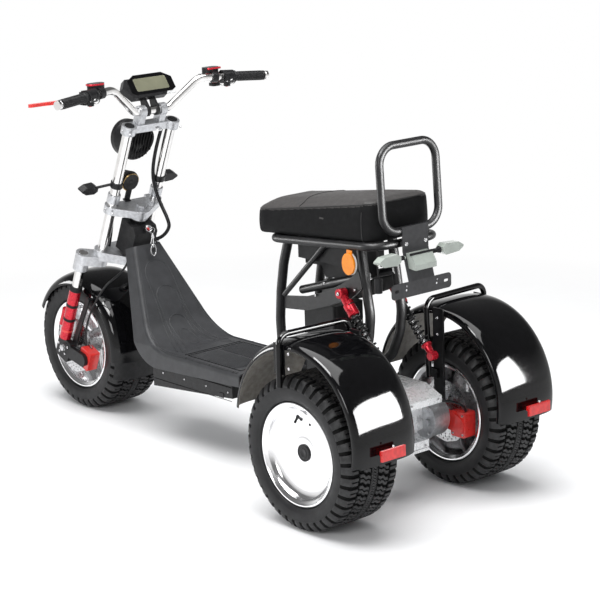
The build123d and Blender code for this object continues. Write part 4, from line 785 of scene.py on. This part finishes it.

# ---- seat
# The top's vinyl is the seat's black vinyl painted lighter: painted light from above on the faces that look
# up. The sides keep the dark colour.
vinyl_painted_lit_top = surface("seat_vinyl_painted_lit_top", (0.048, 0.045, 0.044), 0.5, spread=0.06, scale=40, bump=0.4,
                    bump_scale=520, bump_depth=0.0005, edge=0.0, specular=0.4)
vinyl_side = surface("seat_vinyl_side", (0.011, 0.011, 0.0115), 0.55, spread=0.06, scale=40, bump=0.4,
                     bump_scale=520, bump_depth=0.0005, edge=0.0, specular=0.08)
piping = surface("seat_piping", (0.03, 0.03, 0.03), 0.4, spread=0.1, bump=0.2, edge=0.0, specular=0.4)
seat_low, seat_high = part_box("seat")
seat_nose, seat_tail, seat_half = seat_high.x * 1000, seat_low.x * 1000, seat_high.y * 1000
rail_ends = [min(v.co.z for v in nodes["seat"].data.vertices if abs(v.co.x * 1000 - end) < 60) * 1000
             for end in (seat_tail, seat_nose)]


def cushion_floor(station):
    return float(np.interp(station, (seat_tail, seat_nose), rail_ends))


middle_line = ((-828, 1002), (-812, 1005), (-780, 1006), (-730, 1006), (-650, 1000), (-590, 986), (-540, 966),
               (-490, 950), (-466, 947), (-400, 957), (-320, 953), (-275, 938), (-250, 915))
edge_line = ((-828, 1000), (-790, 999), (-740, 984), (-680, 954), (-600, 931), (-480, 925), (-330, 924),
             (-275, 917), (-250, 905))


def cushion_top(station, side):
    """Top of the cushion: a low front pad, then a raised pillow, both crowned across."""
    middle, edge = (float(np.interp(station, *zip(*line))) for line in (middle_line, edge_line))
    return edge + (middle - edge) * (1 - min(1.0, abs(side / seat_half)) ** 2.3)


def cushion_ring(grow):
    length, width = seat_nose - seat_tail - 2 * grow, 2 * (seat_half - grow)
    return rounded(length, width, max(12, 52 - grow), 10, ((seat_nose + seat_tail) / 2, 0))


def cushion_form():
    form = Shape("seat_cushion")
    verts = []
    for share, grow in ((0.0, 12), (0.06, 6), (0.2, 3), (0.5, 2), (0.8, 3), (0.93, 4), (1.0, 7)):
        for x, y in cushion_ring(grow):
            bottom = cushion_floor(x)
            verts.append(mm(x, y, bottom + (cushion_top(x, y) - 2 - bottom) * share))
    for grow in (11, 18, 30, 45, 65, 90, 115, 130):
        for x, y in cushion_ring(grow):
            verts.append(mm(x, y, cushion_top(x, y)))
    faces = ring_faces(len(verts), len(cushion_ring(0)))
    return form.add(verts, faces, vinyl_side).make("frame", "seat_vinyl", ["seat"])


def stuff(piece, voxel, pressure, cap, frames=20):
    """Blow a closed form up a little with a cloth simulation and keep the result."""
    scene = bpy.context.scene
    work = piece.copy()
    work.data = piece.data.copy()
    work.parent = None
    work.matrix_world = Matrix.Identity(4)
    scene.collection.objects.link(work)
    remesh = work.modifiers.new("even", "REMESH")
    remesh.mode, remesh.voxel_size = "VOXEL", voxel
    evened = evaluated_mesh(work)
    work.modifiers.clear()
    work.data = evened
    start = np.array([vert.co for vert in evened.vertices])
    floors = np.array([cushion_floor(x * 1000) / 1000 for x in start[:, 0]])
    work.vertex_groups.new(name="held").add([int(k) for k in np.nonzero(start[:, 2] < floors + 0.01)[0]],
                                            1.0, "REPLACE")
    cloth = work.modifiers.new("padding", "CLOTH")
    cloth.settings.use_pressure = True
    cloth.settings.uniform_pressure_force = pressure
    cloth.settings.vertex_group_mass = "held"
    cloth.settings.tension_stiffness = cloth.settings.compression_stiffness = 40
    cloth.settings.bending_stiffness = 3
    cloth.settings.effector_weights.gravity = 0
    cloth.collision_settings.use_collision = False
    for number in range(1, frames + 1):
        scene.frame_set(number)
    puffed = work.evaluated_get(bpy.context.evaluated_depsgraph_get())
    move = np.array([vert.co for vert in puffed.to_mesh().vertices]) - start
    puffed.to_mesh_clear()
    size = np.linalg.norm(move, axis=1, keepdims=True)
    placed = start + move * np.minimum(1, cap / np.maximum(size, 1e-9))
    placed = np.clip(placed, np.array(seat_low), np.array(seat_high))
    work.modifiers.clear()
    evened.vertices.foreach_set("co", placed.astype(np.float32).ravel())
    evened.update()
    smooth = work.modifiers.new("even_out", "SMOOTH")
    smooth.factor, smooth.iterations = 0.5, 6
    piece.data = evaluated_mesh(work)
    scene.frame_set(1)
    bpy.data.objects.remove(work)


cushion = cushion_form()
stuff(cushion, voxel=0.005, pressure=4.0, cap=0.005)
cushion.data.materials.clear()
for material in (vinyl_side, vinyl_painted_lit_top):
    cushion.data.materials.append(material)
# Faces near the crown that look up get the lighter vinyl, painted light on the seat's top.
painted_lit_depth, painted_lit_slope = 9, 0.3  # a face this near the crown that faces up this much has the top's vinyl
cushion.data.polygons.foreach_set("material_index", [
    int(face.center.z * 1000 > cushion_top(face.center.x * 1000, face.center.y * 1000) - painted_lit_depth
        and face.normal.z > painted_lit_slope) for face in cushion.data.polygons])
cushion.data.update()
cushion.data.shade_smooth()


seam_lift = 0.0002


def on_cushion(x, y, z):
    """The nearest place on the cushion, lifted a little."""
    place, normal = cushion.closest_point_on_mesh(mm(x, y, z))[1:3]
    return place + normal * seam_lift


seams = Shape("seat_seams")
rim = [on_cushion(x, y, cushion_top(x, y) - 2) for x, y in cushion_ring(6)]
seams.tube(closed(rim), 1.5, piping)
seams.tube([on_cushion(-468 + 6 * math.cos(y / 40), y, 960) for y in range(-132, 133, 12)], 1.2, vinyl_side)
for sign in (1, -1):
    seams.tube([on_cushion(-782, sign * 139, z) for z in range(850, 976, 10)], 1.3, piping)
seams.make("frame", "seat_vinyl")

# ---- front end
brass = surface("brass", (0.62, 0.42, 0.18), 0.3, 1.0, spread=0.06, bump=0.1, edge=0.0)
screen = surface("display_screen", (0.16, 0.16, 0.11), 0.2, spread=0.06, scale=12, bump=0.02, edge=0.0,
                 coat=0.3)
lens_red = surface("button_red", (0.75, 0.02, 0.02), 0.3, spread=0.05, bump=0.05, edge=0.0)
white_button = surface("button_white", (0.75, 0.75, 0.74), 0.4, spread=0.04, bump=0.1, edge=0.0)


def half_of(name, sign):
    """Corners of the part of a node that lies on one side of the trike."""
    return np.array([v.co for v in nodes[name].data.vertices if v.co.y * sign > 0])


def long_axis(name, sign):
    """Middle, outward direction and half length of a long piece on one side."""
    points = half_of(name, sign)
    middle = (points.min(axis=0) + points.max(axis=0)) / 2
    direction = np.linalg.svd(points - points.mean(axis=0))[2][0]
    direction = Vector(direction) * (1 if direction[1] * sign > 0 else -1)
    reach = max(abs((Vector(p) - Vector(middle)).dot(direction)) for p in points)
    return Vector(middle), direction, reach * 1000


for hand, sign in hands.items():
    middle, outward, reach = long_axis("grips", sign)
    grip = Shape(f"grip_{hand}")
    profile = [(-reach, 0), (-reach, 19.5), (-reach + 2, 21), (-reach + 5, 21), (-reach + 7, 18)]
    station, ring_pitch = -reach + 10, 6.2
    while station < reach - 16:
        profile += [(station, 16.4), (station + 1, 17.0), (station + 4, 17.0), (station + 5, 16.4)]
        station += ring_pitch
    profile += [(reach - 12, 17.2), (reach - 5, 17.2), (reach - 4, 15)]
    grip.lathe(profile, middle, outward, grip_rubber, 32)
    grip.lathe([(reach - 6, 15.4), (reach - 3.5, 15.2), (reach - 1.5, 12.5), (reach - 0.4, 7),
                (reach - 0.1, 0)], middle, outward, bright_steel, 32)
    first, second, _ = axes_of(outward)
    for angle in turns(10):
        side = first * math.cos(angle) + second * math.sin(angle)
        grip.block((5, 2 * reach - 30, 1.6), middle + side * 0.0168, side.cross(outward), outward,
                   grip_rubber, 0.5)
    controls = Shape(f"switch_details_{hand}")
    place = long_axis("switch_housings", sign)[0]
    rear, high = -axis_forward, axis_up
    controls.block((15, 11, 8), place + rear * 0.0225 + high * 0.006, sideways, high, black_plastic, 2)
    controls.block((8, 6, 10), place + rear * 0.0232 + high * 0.006, sideways, high, white_button, 1.5)
    controls.block((18, 10, 14), place - high * 0.024 + rear * 0.006, sideways, high, fine_plastic, 2)
    controls.block((10, 8, 10), place - high * 0.0262 + rear * 0.010, sideways, high, lens_red, 2)
    for offset in (-16, 16):
        controls.bolt(place + rear * 0.0235 + sideways * offset / 1000, rear, 2.6, 2.2, steel)
    controls.lathe([(-24.2, 25.2), (-22, 25.6), (-20, 25.2)], place, sideways, black_plastic, 36)
    controls.lathe([(20, 25.2), (22, 25.6), (24.2, 25.2)], place, sideways, black_plastic, 36)
    corners = half_of("master_cylinders", sign)
    low, high_corner = corners.min(axis=0), corners.max(axis=0)
    centre = Vector((low + high_corner) / 2)
    top = float(high_corner[2])
    cup = Vector((centre.x, centre.y, top))
    controls.prism(rounded(62, 34, 8), cup - Vector((0, 0, 0.0075)), (0, 1, 0), (-1, 0, 0), 7, red_anodised,
                   1.5)
    controls.prism(rounded(44, 22, 6), cup - Vector((0, 0, 0.0012)), (0, 1, 0), (-1, 0, 0), 1.0, red_paint,
                   0.4)
    for offset in (-24, 24):
        controls.bolt(cup + Vector((0, offset / 1000, -0.0012)), (0, 0, 1), 2.2, 1.2, bright_steel)
    grip.make("steering", "grip_rubber", ["grips"] if sign > 0 else [], sharp=40)
    controls.make("steering", "black_plastic")

panel = max((face for face in nodes["display"].data.polygons if face.normal.z > 0.3 and face.normal.x < 0),
            key=lambda face: face.area)
panel_centre, panel_out = panel.center.copy(), panel.normal.copy()
panel_up = sideways.cross(panel_out) * -1
panel_up = panel_up if panel_up.z > 0 else -panel_up
across = panel_up.cross(panel_out)
display = Shape("display_face")
bezel = [(-98, -30), (-78, -41), (78, -41), (98, -30), (98, 16), (62, 38), (-62, 38), (-98, 16)]
display.prism(bezel, panel_centre - panel_out * 0.0006, across, panel_up, 1.6, black_gloss, 0.6)
display.prism(rounded(142, 52, 6), panel_centre + panel_out * 0.0008 - panel_up * 0.003, across, panel_up,
              0.8, screen, 0.2)
display.prism([(-92, -48), (92, -48), (84, -41.5), (-84, -41.5)], panel_centre - panel_out * 0.010, across,
              panel_up, 9, sheet_silver, 1)
display.make("steering", "black_plastic")

lamp = Shape("headlight_fins")
lamp_height, lamp_radius, fin_pitch = 208.5, 60, 13
for k in range(-4, 5):
    reach = math.sqrt(lamp_radius ** 2 - (k * fin_pitch) ** 2)
    lamp.block((3, 2 * reach, 16), steer(86, k * fin_pitch, lamp_height), sideways, axis_up, black_plastic,
               0.8)
lamp.lathe([(-3, lamp_radius), (-3, 68.6), (4, 68.6), (6, 66)], steer(92, 0, lamp_height), axis_forward,
           fine_plastic, 64)
lamp.make("steering", "black_plastic")

horn = Shape("horn_rim")
horn_place = steer(76, 22, 65.9)
horn_rim = [(-19.0, 33.0), (-19.6, 34.5), (-18.5, 35.6), (-15.5, 35.6), (-14.5, 34.4)]
horn.lathe(horn_rim, horn_place, axis_forward, brass, 48)
horn_face = [(-20.5, 0), (-20.5, 9), (-18.4, 11), (-18.2, 26), (-19.0, 33)]
horn.lathe(horn_face, horn_place, axis_forward, fine_plastic, 48)
horn.make("steering", "black_plastic")

clamps = Shape("clamp_details")
tube_ahead, tube_side, clamp_top = 46.7, 95, 318
for sign in (1, -1):
    top = steer(tube_ahead, sign * tube_side, clamp_top)
    clamps.lathe([(0, 24), (1.5, 23.5), (1.5, 18.4), (0.2, 18)], top, axis_up, cast_silver, 48)
    clamps.lathe([(0, 18), (3, 17.4), (3.6, 15), (2.4, 12), (2.4, 0)], top, axis_up, black_plastic, 48)
    clamps.bolt(top - axis_up * 0.0005, axis_up, 5, 4.6, fine_plastic)
    for height in (303, -25):
        clamps.bolt(steer(16, sign * 112, height), -axis_forward, 4, 5, bright_steel)
        clamps.bolt(steer(tube_ahead, sign * 122, height), sideways * sign, 4, 5, bright_steel)
    clamps.lathe([(-17, 18.8), (-17, 22.5), (-14, 23.4), (14, 23.4), (17, 22.5), (17, 18.8)],
                 steer(tube_ahead, sign * tube_side, 20), axis_up, cast_silver, 40)
clamps.lathe([(0, 13), (4, 13), (6, 11), (6, 0)], steer(0, 0, clamp_top), axis_up, bright_steel, 6)
clamps.make("steering", "cast_silver")

legs = Shape("fork_leg_bands")
leg_side = 155
for sign in (1, -1):
    leg = steer(75, sign * leg_side, 0)
    legs.lathe([(-388, 22.4), (-386, 24), (-374, 24), (-370, 21), (-368, 17.3)], leg, axis_up, soft_rubber,
               40)
    for height in (-452, -514):
        legs.lathe([(height - 6, 22.1), (height - 5, 23), (height + 5, 23), (height + 6, 22.1)], leg, axis_up,
                   soft_rubber, 40)
    legs.lathe([(-568, 22.1), (-567, 22.9), (-560, 22.9), (-559, 22.1)], leg, axis_up, red_paint, 40)
    cap = steer(109, sign * leg_side, -498)
    legs.lathe([(0, 11.2), (6, 11.2), (9, 8.5), (10, 0)], cap, axis_up, red_anodised, 28)
    for forward, height in ((92, -634), (78, -662), (46, -655), (38, -622)):
        legs.bolt(steer(forward, sign * 165.2, height), sideways * sign, 4.6, 4, bright_steel)
    legs.lathe([(0, 13), (7, 13), (8, 11), (8, 0)], steer(51.4, sign * 176, -627), sideways * sign, steel, 6)
for height in (-612, -650):
    legs.bolt(steer(-51, 150.3, height), sideways, 5.5, 2.4, fine_plastic)
legs.block((8, 40, 2), steer(-51, 150.8, -631), axis_forward, axis_up, red_paint, 0.6)
legs.make("steering", "red_anodised")

# ---- footboard
# Near-black lines that stand in for the shade inside grooves and seams: painted shade.
black_painted_groove_shade = surface("black_painted_groove_shade", (0.004, 0.004, 0.004), 0.7, spread=0.1, bump=0.1, edge=0.0,
                       specular=0.1)
deck_rear, deck_height = -170.0, 335.0
bend_centre, bend_radius = (229.5, 515.0), 180.0
bend_sweep = math.radians(58.1)
flat_length = bend_centre[0] - deck_rear
bend_length = bend_radius * bend_sweep


def deck_point(along, side, lift=0.0):
    """A place on the footboard's top: along it from its rear edge, to one side, and raised square to it."""
    if along < flat_length:
        return mm(deck_rear + along, side, deck_height + lift)
    turned = min(along - flat_length, bend_length) / bend_radius
    out = (math.sin(turned), -math.cos(turned))
    x = bend_centre[0] + out[0] * (bend_radius - lift)
    z = bend_centre[1] + out[1] * (bend_radius - lift)
    beyond = max(0.0, along - flat_length - bend_length)
    return mm(x - out[1] * beyond, side, z + out[0] * beyond)


def deck_half(along):
    """Half of the footboard's width there."""
    height = deck_point(along, 0).z * 1000
    return float(np.interp(height, (345, 660), (160, 62)))


deck = Shape("footboard_relief")


def deck_line(points, width, material=deck_plastic):
    """A raised line along places on the footboard's top."""
    deck.tube([deck_point(along, side) for along, side in points], width, material)


def arch(top, half, foot, spread, steps=14):
    """A line up one side, over a round top and down the other, which spreads out at its feet."""
    right = [(foot + (top - half - foot) * k / 12, half + spread * (1 - k / 12) ** 3) for k in range(12)]
    crown = [(top - half + half * math.sin(math.pi * k / steps), half * math.cos(math.pi * k / steps))
             for k in range(steps + 1)]
    return right + crown + [(along, -side) for along, side in reversed(right)]


for top, half, foot, spread in ((800, 56, 395, 60), (700, 46, 372, 64), (585, 38, 352, 72)):
    deck_line(arch(top, half, foot, spread), 2.2)
deck_line(closed(oval(46, 26, 24, (476, 0))), 2.0)
for sign in (1, -1):
    for inset in (9, 17):
        deck_line([(20 + 12 * k, sign * (deck_half(20 + 12 * k) - inset)) for k in range(70)], 1.6)
# The grooves across and round the ribbed panel are raised near-black lines, painted groove shade.
deck_line([(338, side) for side in range(-126, 127, 14)], 1.7, black_painted_groove_shade)
rib_rear, rib_front, rib_side = 34.0, 322.0, 124.0
deck_line([(rib_rear, -rib_side), (rib_front, -rib_side), (rib_front, rib_side), (rib_rear, rib_side),
           (rib_rear, -rib_side)], 1.7, black_painted_groove_shade)
rib_count, rib_pitch, rib_run, rib_gap = 27, 10.0, 34, 5
for k in range(rib_count):
    start = rib_rear + 8 + k * rib_pitch
    end = min(rib_front - 6, start + rib_run)
    reach = (end - start) / rib_run * (rib_side - 12)
    for sign in (1, -1):
        deck_line([(start, sign * rib_gap), (start + (end - start) / 2, sign * (rib_gap + reach / 2)),
                   (end, sign * (rib_gap + reach))], 2.3)
for sign in (1, -1):
    for place in (40, 170, 300):
        deck.bolt(deck_point(place, sign * 150, 0.0), (0, 0, 1), 4.5, 2, fine_plastic)
deck.make("frame", "deck_grey")

box = Shape("battery_box_details")
for sign in (1, -1):
    for x in (-96, 24, 146, 268):
        box.bolt(mm(x, sign * 150.2, 256), (0, sign, 0), 3.6, 2.2, steel)
    # Near-black lines of painted groove shade along the box's sides.
    box.block((440, 3, 2.4), mm(104, sign * 150.4, 276), (1, 0, 0), (0, 0, 1), black_painted_groove_shade, 0.5)
    box.block((440, 2, 1.6), mm(104, sign * 150.4, 228), (1, 0, 0), (0, 0, 1), black_painted_groove_shade, 0.4)
    box.block((26, 18, 3), mm(-60, sign * 150.8, 240), (1, 0, 0), (0, 0, 1), fine_plastic, 1)
box.make("frame", "frame_black")

# ---- rear end
def eye(half, radius):
    """The profile of a shock's eye: a short cylinder with bevelled ends."""
    return [(-half, 0), (-half, radius), (2 - half, radius + 1.5), (half - 2, radius + 1.5), (half, radius),
            (half, 0)]


def coil(middle_low, middle_high, radius, rounds, wire, shape, material, steps_a_round=18):
    """A spring wound round the line between two places."""
    axis = middle_high - middle_low
    first, second, _ = axes_of(axis)
    steps = int(rounds * steps_a_round)
    line = []
    for k in range(steps + 1):
        angle = k * 2 * math.pi / steps_a_round
        line.append(middle_low + axis * k / steps
                    + (first * math.cos(angle) + second * math.sin(angle)) * radius / 1000)
    shape.tube(line, wire, material)


spring_black = surface("spring_black", (0.010, 0.010, 0.011), 0.2, spread=0.1, bump=0.05, edge=0.0, coat=0.4)
for hand, sign in hands.items():
    upper, lower = mm(-645, sign * 105, 685), mm(-838, sign * 105, 472)
    line = (lower - upper).normalized()
    length = (lower - upper).length * 1000
    shock = Shape(f"rear_shock_{hand}")
    shock.lathe(eye(15, 15), upper, sideways, red_anodised, 32)
    shock.lathe([(-17, 9), (-17, 0)], upper, sideways * sign, steel, 16)
    shock.bolt(upper + sideways * sign * 0.0152, sideways * sign, 6, 5, bright_steel)
    shock.lathe([(10, 9), (12, 13), (40, 14), (44, 17.8), (62, 18.2), (66, 16.5), (70, 18.2), (80, 18.4),
                 (84, 18.4), (86, 15), (86, 8)], upper, line, red_anodised, 36)
    shock.lathe([(84, 7.5), (length - 40, 7.5)], upper, line, bright_steel, 24)
    shock.lathe([(86, 11.5), (150, 11.5), (152, 8)], upper, line, fine_plastic, 28)
    coil(upper + line * (length - 44) / 1000, upper + line * 0.088, 15.0, 8.5, 3.4, shock, spring_black)
    shock.lathe([(length - 44, 8), (length - 44, 18.2), (length - 38, 18.4), (length - 34, 13),
                 (length - 12, 11), (length - 8, 9)], upper, line, red_anodised, 36)
    side = axes_of(line)[0]
    tank = upper + Vector((-0.026, 0, -0.010))
    shock.lathe([(0, 0), (0, 9), (3, 11.5), (50, 11.5), (54, 9), (54, 0)], tank + line * 0.010, line,
                red_anodised, 28)
    shock.lathe([(14, 11.9), (16, 12.1), (18, 11.9)], tank + line * 0.010, line, soft_rubber, 28)
    shock.lathe(eye(14, 13), lower, sideways, red_anodised, 32)
    shock.bolt(lower + sideways * sign * 0.0142, sideways * sign, 5, 4, bright_steel)
    shock.make("frame", "red_anodised", ["rear_shocks"] if sign > 0 else [])

small = Shape("rear_fasteners")
for sign in (1, -1):
    for x, z in ((-500, 652), (-622, 672), (-545, 700), (-690, 700)):
        small.bolt(mm(x, sign * 89.2, z), (0, sign, 0), 4.6, 4, bright_steel)
for side in (41, -41):
    small.bolt(mm(-880.4, side, 868), (-1, 0, 0), 7, 4, bright_steel)
    small.bolt(mm(-905.2, side * 1.6, 742), (-1, 0, 0), 3, 2, steel)
small.make("frame", "steel")

lamps = Shape("tail_lamp_details")
lamps.block((94, 7, 9), mm(-905, 0, 838), sideways, (0, 0, 1), fine_plastic, 2)
for sign in (1, -1):
    lamps.lathe([(0, 6), (3, 7.5), (5, 6.2), (8, 7.5), (10, 6.2), (13, 7.5), (15, 6.2), (18, 7.5), (22, 9.5),
                 (30, 11)], mm(-889, sign * 62, 829), mm(-3, sign * 30, 2), soft_rubber, 24)
lamps.make("frame", "black_plastic")

reflectors = Shape("side_reflector_details")
for sign in (1, -1):
    reflectors.prism(oval(29.5, 36.5), mm(-728, sign * 140.5, 800), (sign, 0, 0), (0, 0, 1), 5, white_button,
                     1)
    reflectors.prism(oval(27, 34), mm(-728, sign * 147.2, 800), (-sign, 0, 0), (0, 0, 1), -2.0, amber, 0)
reflectors.make("frame", "amber")

wheels_side = Shape("carriage_details")
reflector_side, inner_face, outer_face = 319.5, 178, 438.4  # half distances across the carriage
for hand, axle in rear_axles.items():
    sign = hands[hand]
    face = mm(-1103.4, sign * reflector_side, 303)
    wheels_side.block((97, 34, 2), face + Vector((0.003, 0, 0)), sideways, (0, 0, 1), white_button, 0.6)
    wheels_side.block((90, 27, 3), face + Vector((0.0015, 0, 0)), sideways, (0, 0, 1), reflector_red, 0.8)
    wheels_side.bolt(mm(-1100, sign * reflector_side, 326), (-1, 0, 0.2), 4, 3, bright_steel)
    for height in (520, 575):
        wheels_side.bolt(mm(-787, sign * inner_face, height), (0, -sign, 0), 5, 4, bright_steel)
    for height in (528, 575):
        wheels_side.bolt(mm(-769, sign * outer_face, height), (0, sign, 0), 5, 4, bright_steel)
    badge = mm(-855, sign * 195.8, 225)
    wheels_side.lathe([(0, 19), (1.6, 18.4), (1.6, 16), (1.0, 15), (1.0, 0)], badge, (0, -sign, 0),
                      bright_steel, 36)
    for dx, dz in ((-22, 32), (22, 32), (-22, -32), (22, -32)):
        wheels_side.bolt(badge + mm(dx, 0, dz), (0, -sign, 0), 4, 4, steel)
    hub = Vector((axle.x, sign * 0.1042, axle.z))
    for angle in turns(4, 0.5):
        wheels_side.bolt(hub + wheel_out(angle) * 0.060, (0, -sign, 0), 4.5, 4, steel)
    wheels_side.lathe([(0, 14), (3, 14), (4, 12), (4, 0)], mm(-782, sign * 75.3, 300), (0, sign, 0),
                      fine_plastic, 24)
wheels_side.make("rear_carriage", "steel")

seams_of_box = Shape("axle_box_details")
for x, z in ((-907.3, 352), (-845.3, 184)):
    for y in (-58, 58):
        seams_of_box.bolt(mm(x, y, z), (-1, 0, 0), 4, 3, steel)
# A near-black line of painted shade for the seam under the box.
seams_of_box.block((148, 1.2, 1.2), mm(-845.3, 0, 176), sideways, (0, 0, 1), black_painted_groove_shade, 0.3)
seams_of_box.make("rear_carriage", "steel")

for hand, axle in rear_axles.items():
    data = nodes[f"rear_fender_{hand}"].data
    data.materials.append(beige_plastic)
    data.polygons.foreach_set("material_index", [
        int(face.normal.dot((axle - face.center).normalized()) > 0.15) for face in data.polygons])

# ---- key and its ring
key_low, key_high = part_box("key_switch")
key_place = (key_low + key_high) / 2
key_out = (-axis_forward + axis_up * 0.9).normalized()
key = Shape("key_and_ring")
key.lathe([(8, 13.5), (11.5, 13.2), (12.3, 11), (11.0, 9), (11.0, 0)], key_place, key_out, bright_steel, 36)
key.lathe([(11, 6.5), (12.6, 6), (12.8, 0)], key_place, key_out, lens_red, 24)
blade = key_place + key_out * 0.013
key.block((7, 3, 22), blade + key_out * 0.006, sideways, axis_up, bright_steel, 0.6)
hang = blade + key_out * 0.018
key.tube(closed([hang + mm(0, y, z) for y, z in oval(11, 11, 24, (0, -11))]), 0.9, bright_steel)
down = Vector((-0.10, 0, -1)).normalized()
for tilt, length, width in ((-0.35, 44, 14), (0.05, 52, 10), (0.38, 40, 9)):
    direction = (down + sideways * tilt).normalized()
    side = direction.cross(Vector((1, 0, 0))).normalized()
    start = hang - Vector((0.002, 0, 0.02))
    edge = [(0, -0.35), (0.35, -0.5), (0.4, -0.22), (1, -0.2)]
    outline = [(length * along, width * out) for along, out in edge]
    outline += [(length * along, -width * out) for along, out in reversed(edge)]
    key.prism(outline, start, direction, side, 1.8, fine_plastic if tilt < 0 else bright_steel, 0.3)
tag = hang + down * 0.082 + sideways * 0.004
key.tube(closed([tag + mm(0, y, z) for y, z in oval(11, 21, 28)]), 2.0, bright_steel)
key.lathe([(-1.2, 0), (-1.2, 8), (1.2, 8), (1.2, 0)], tag, (1, 0, 0), fine_plastic, 28)
key.make("frame", "steel")

# ---- sizes, then the end
low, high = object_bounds()
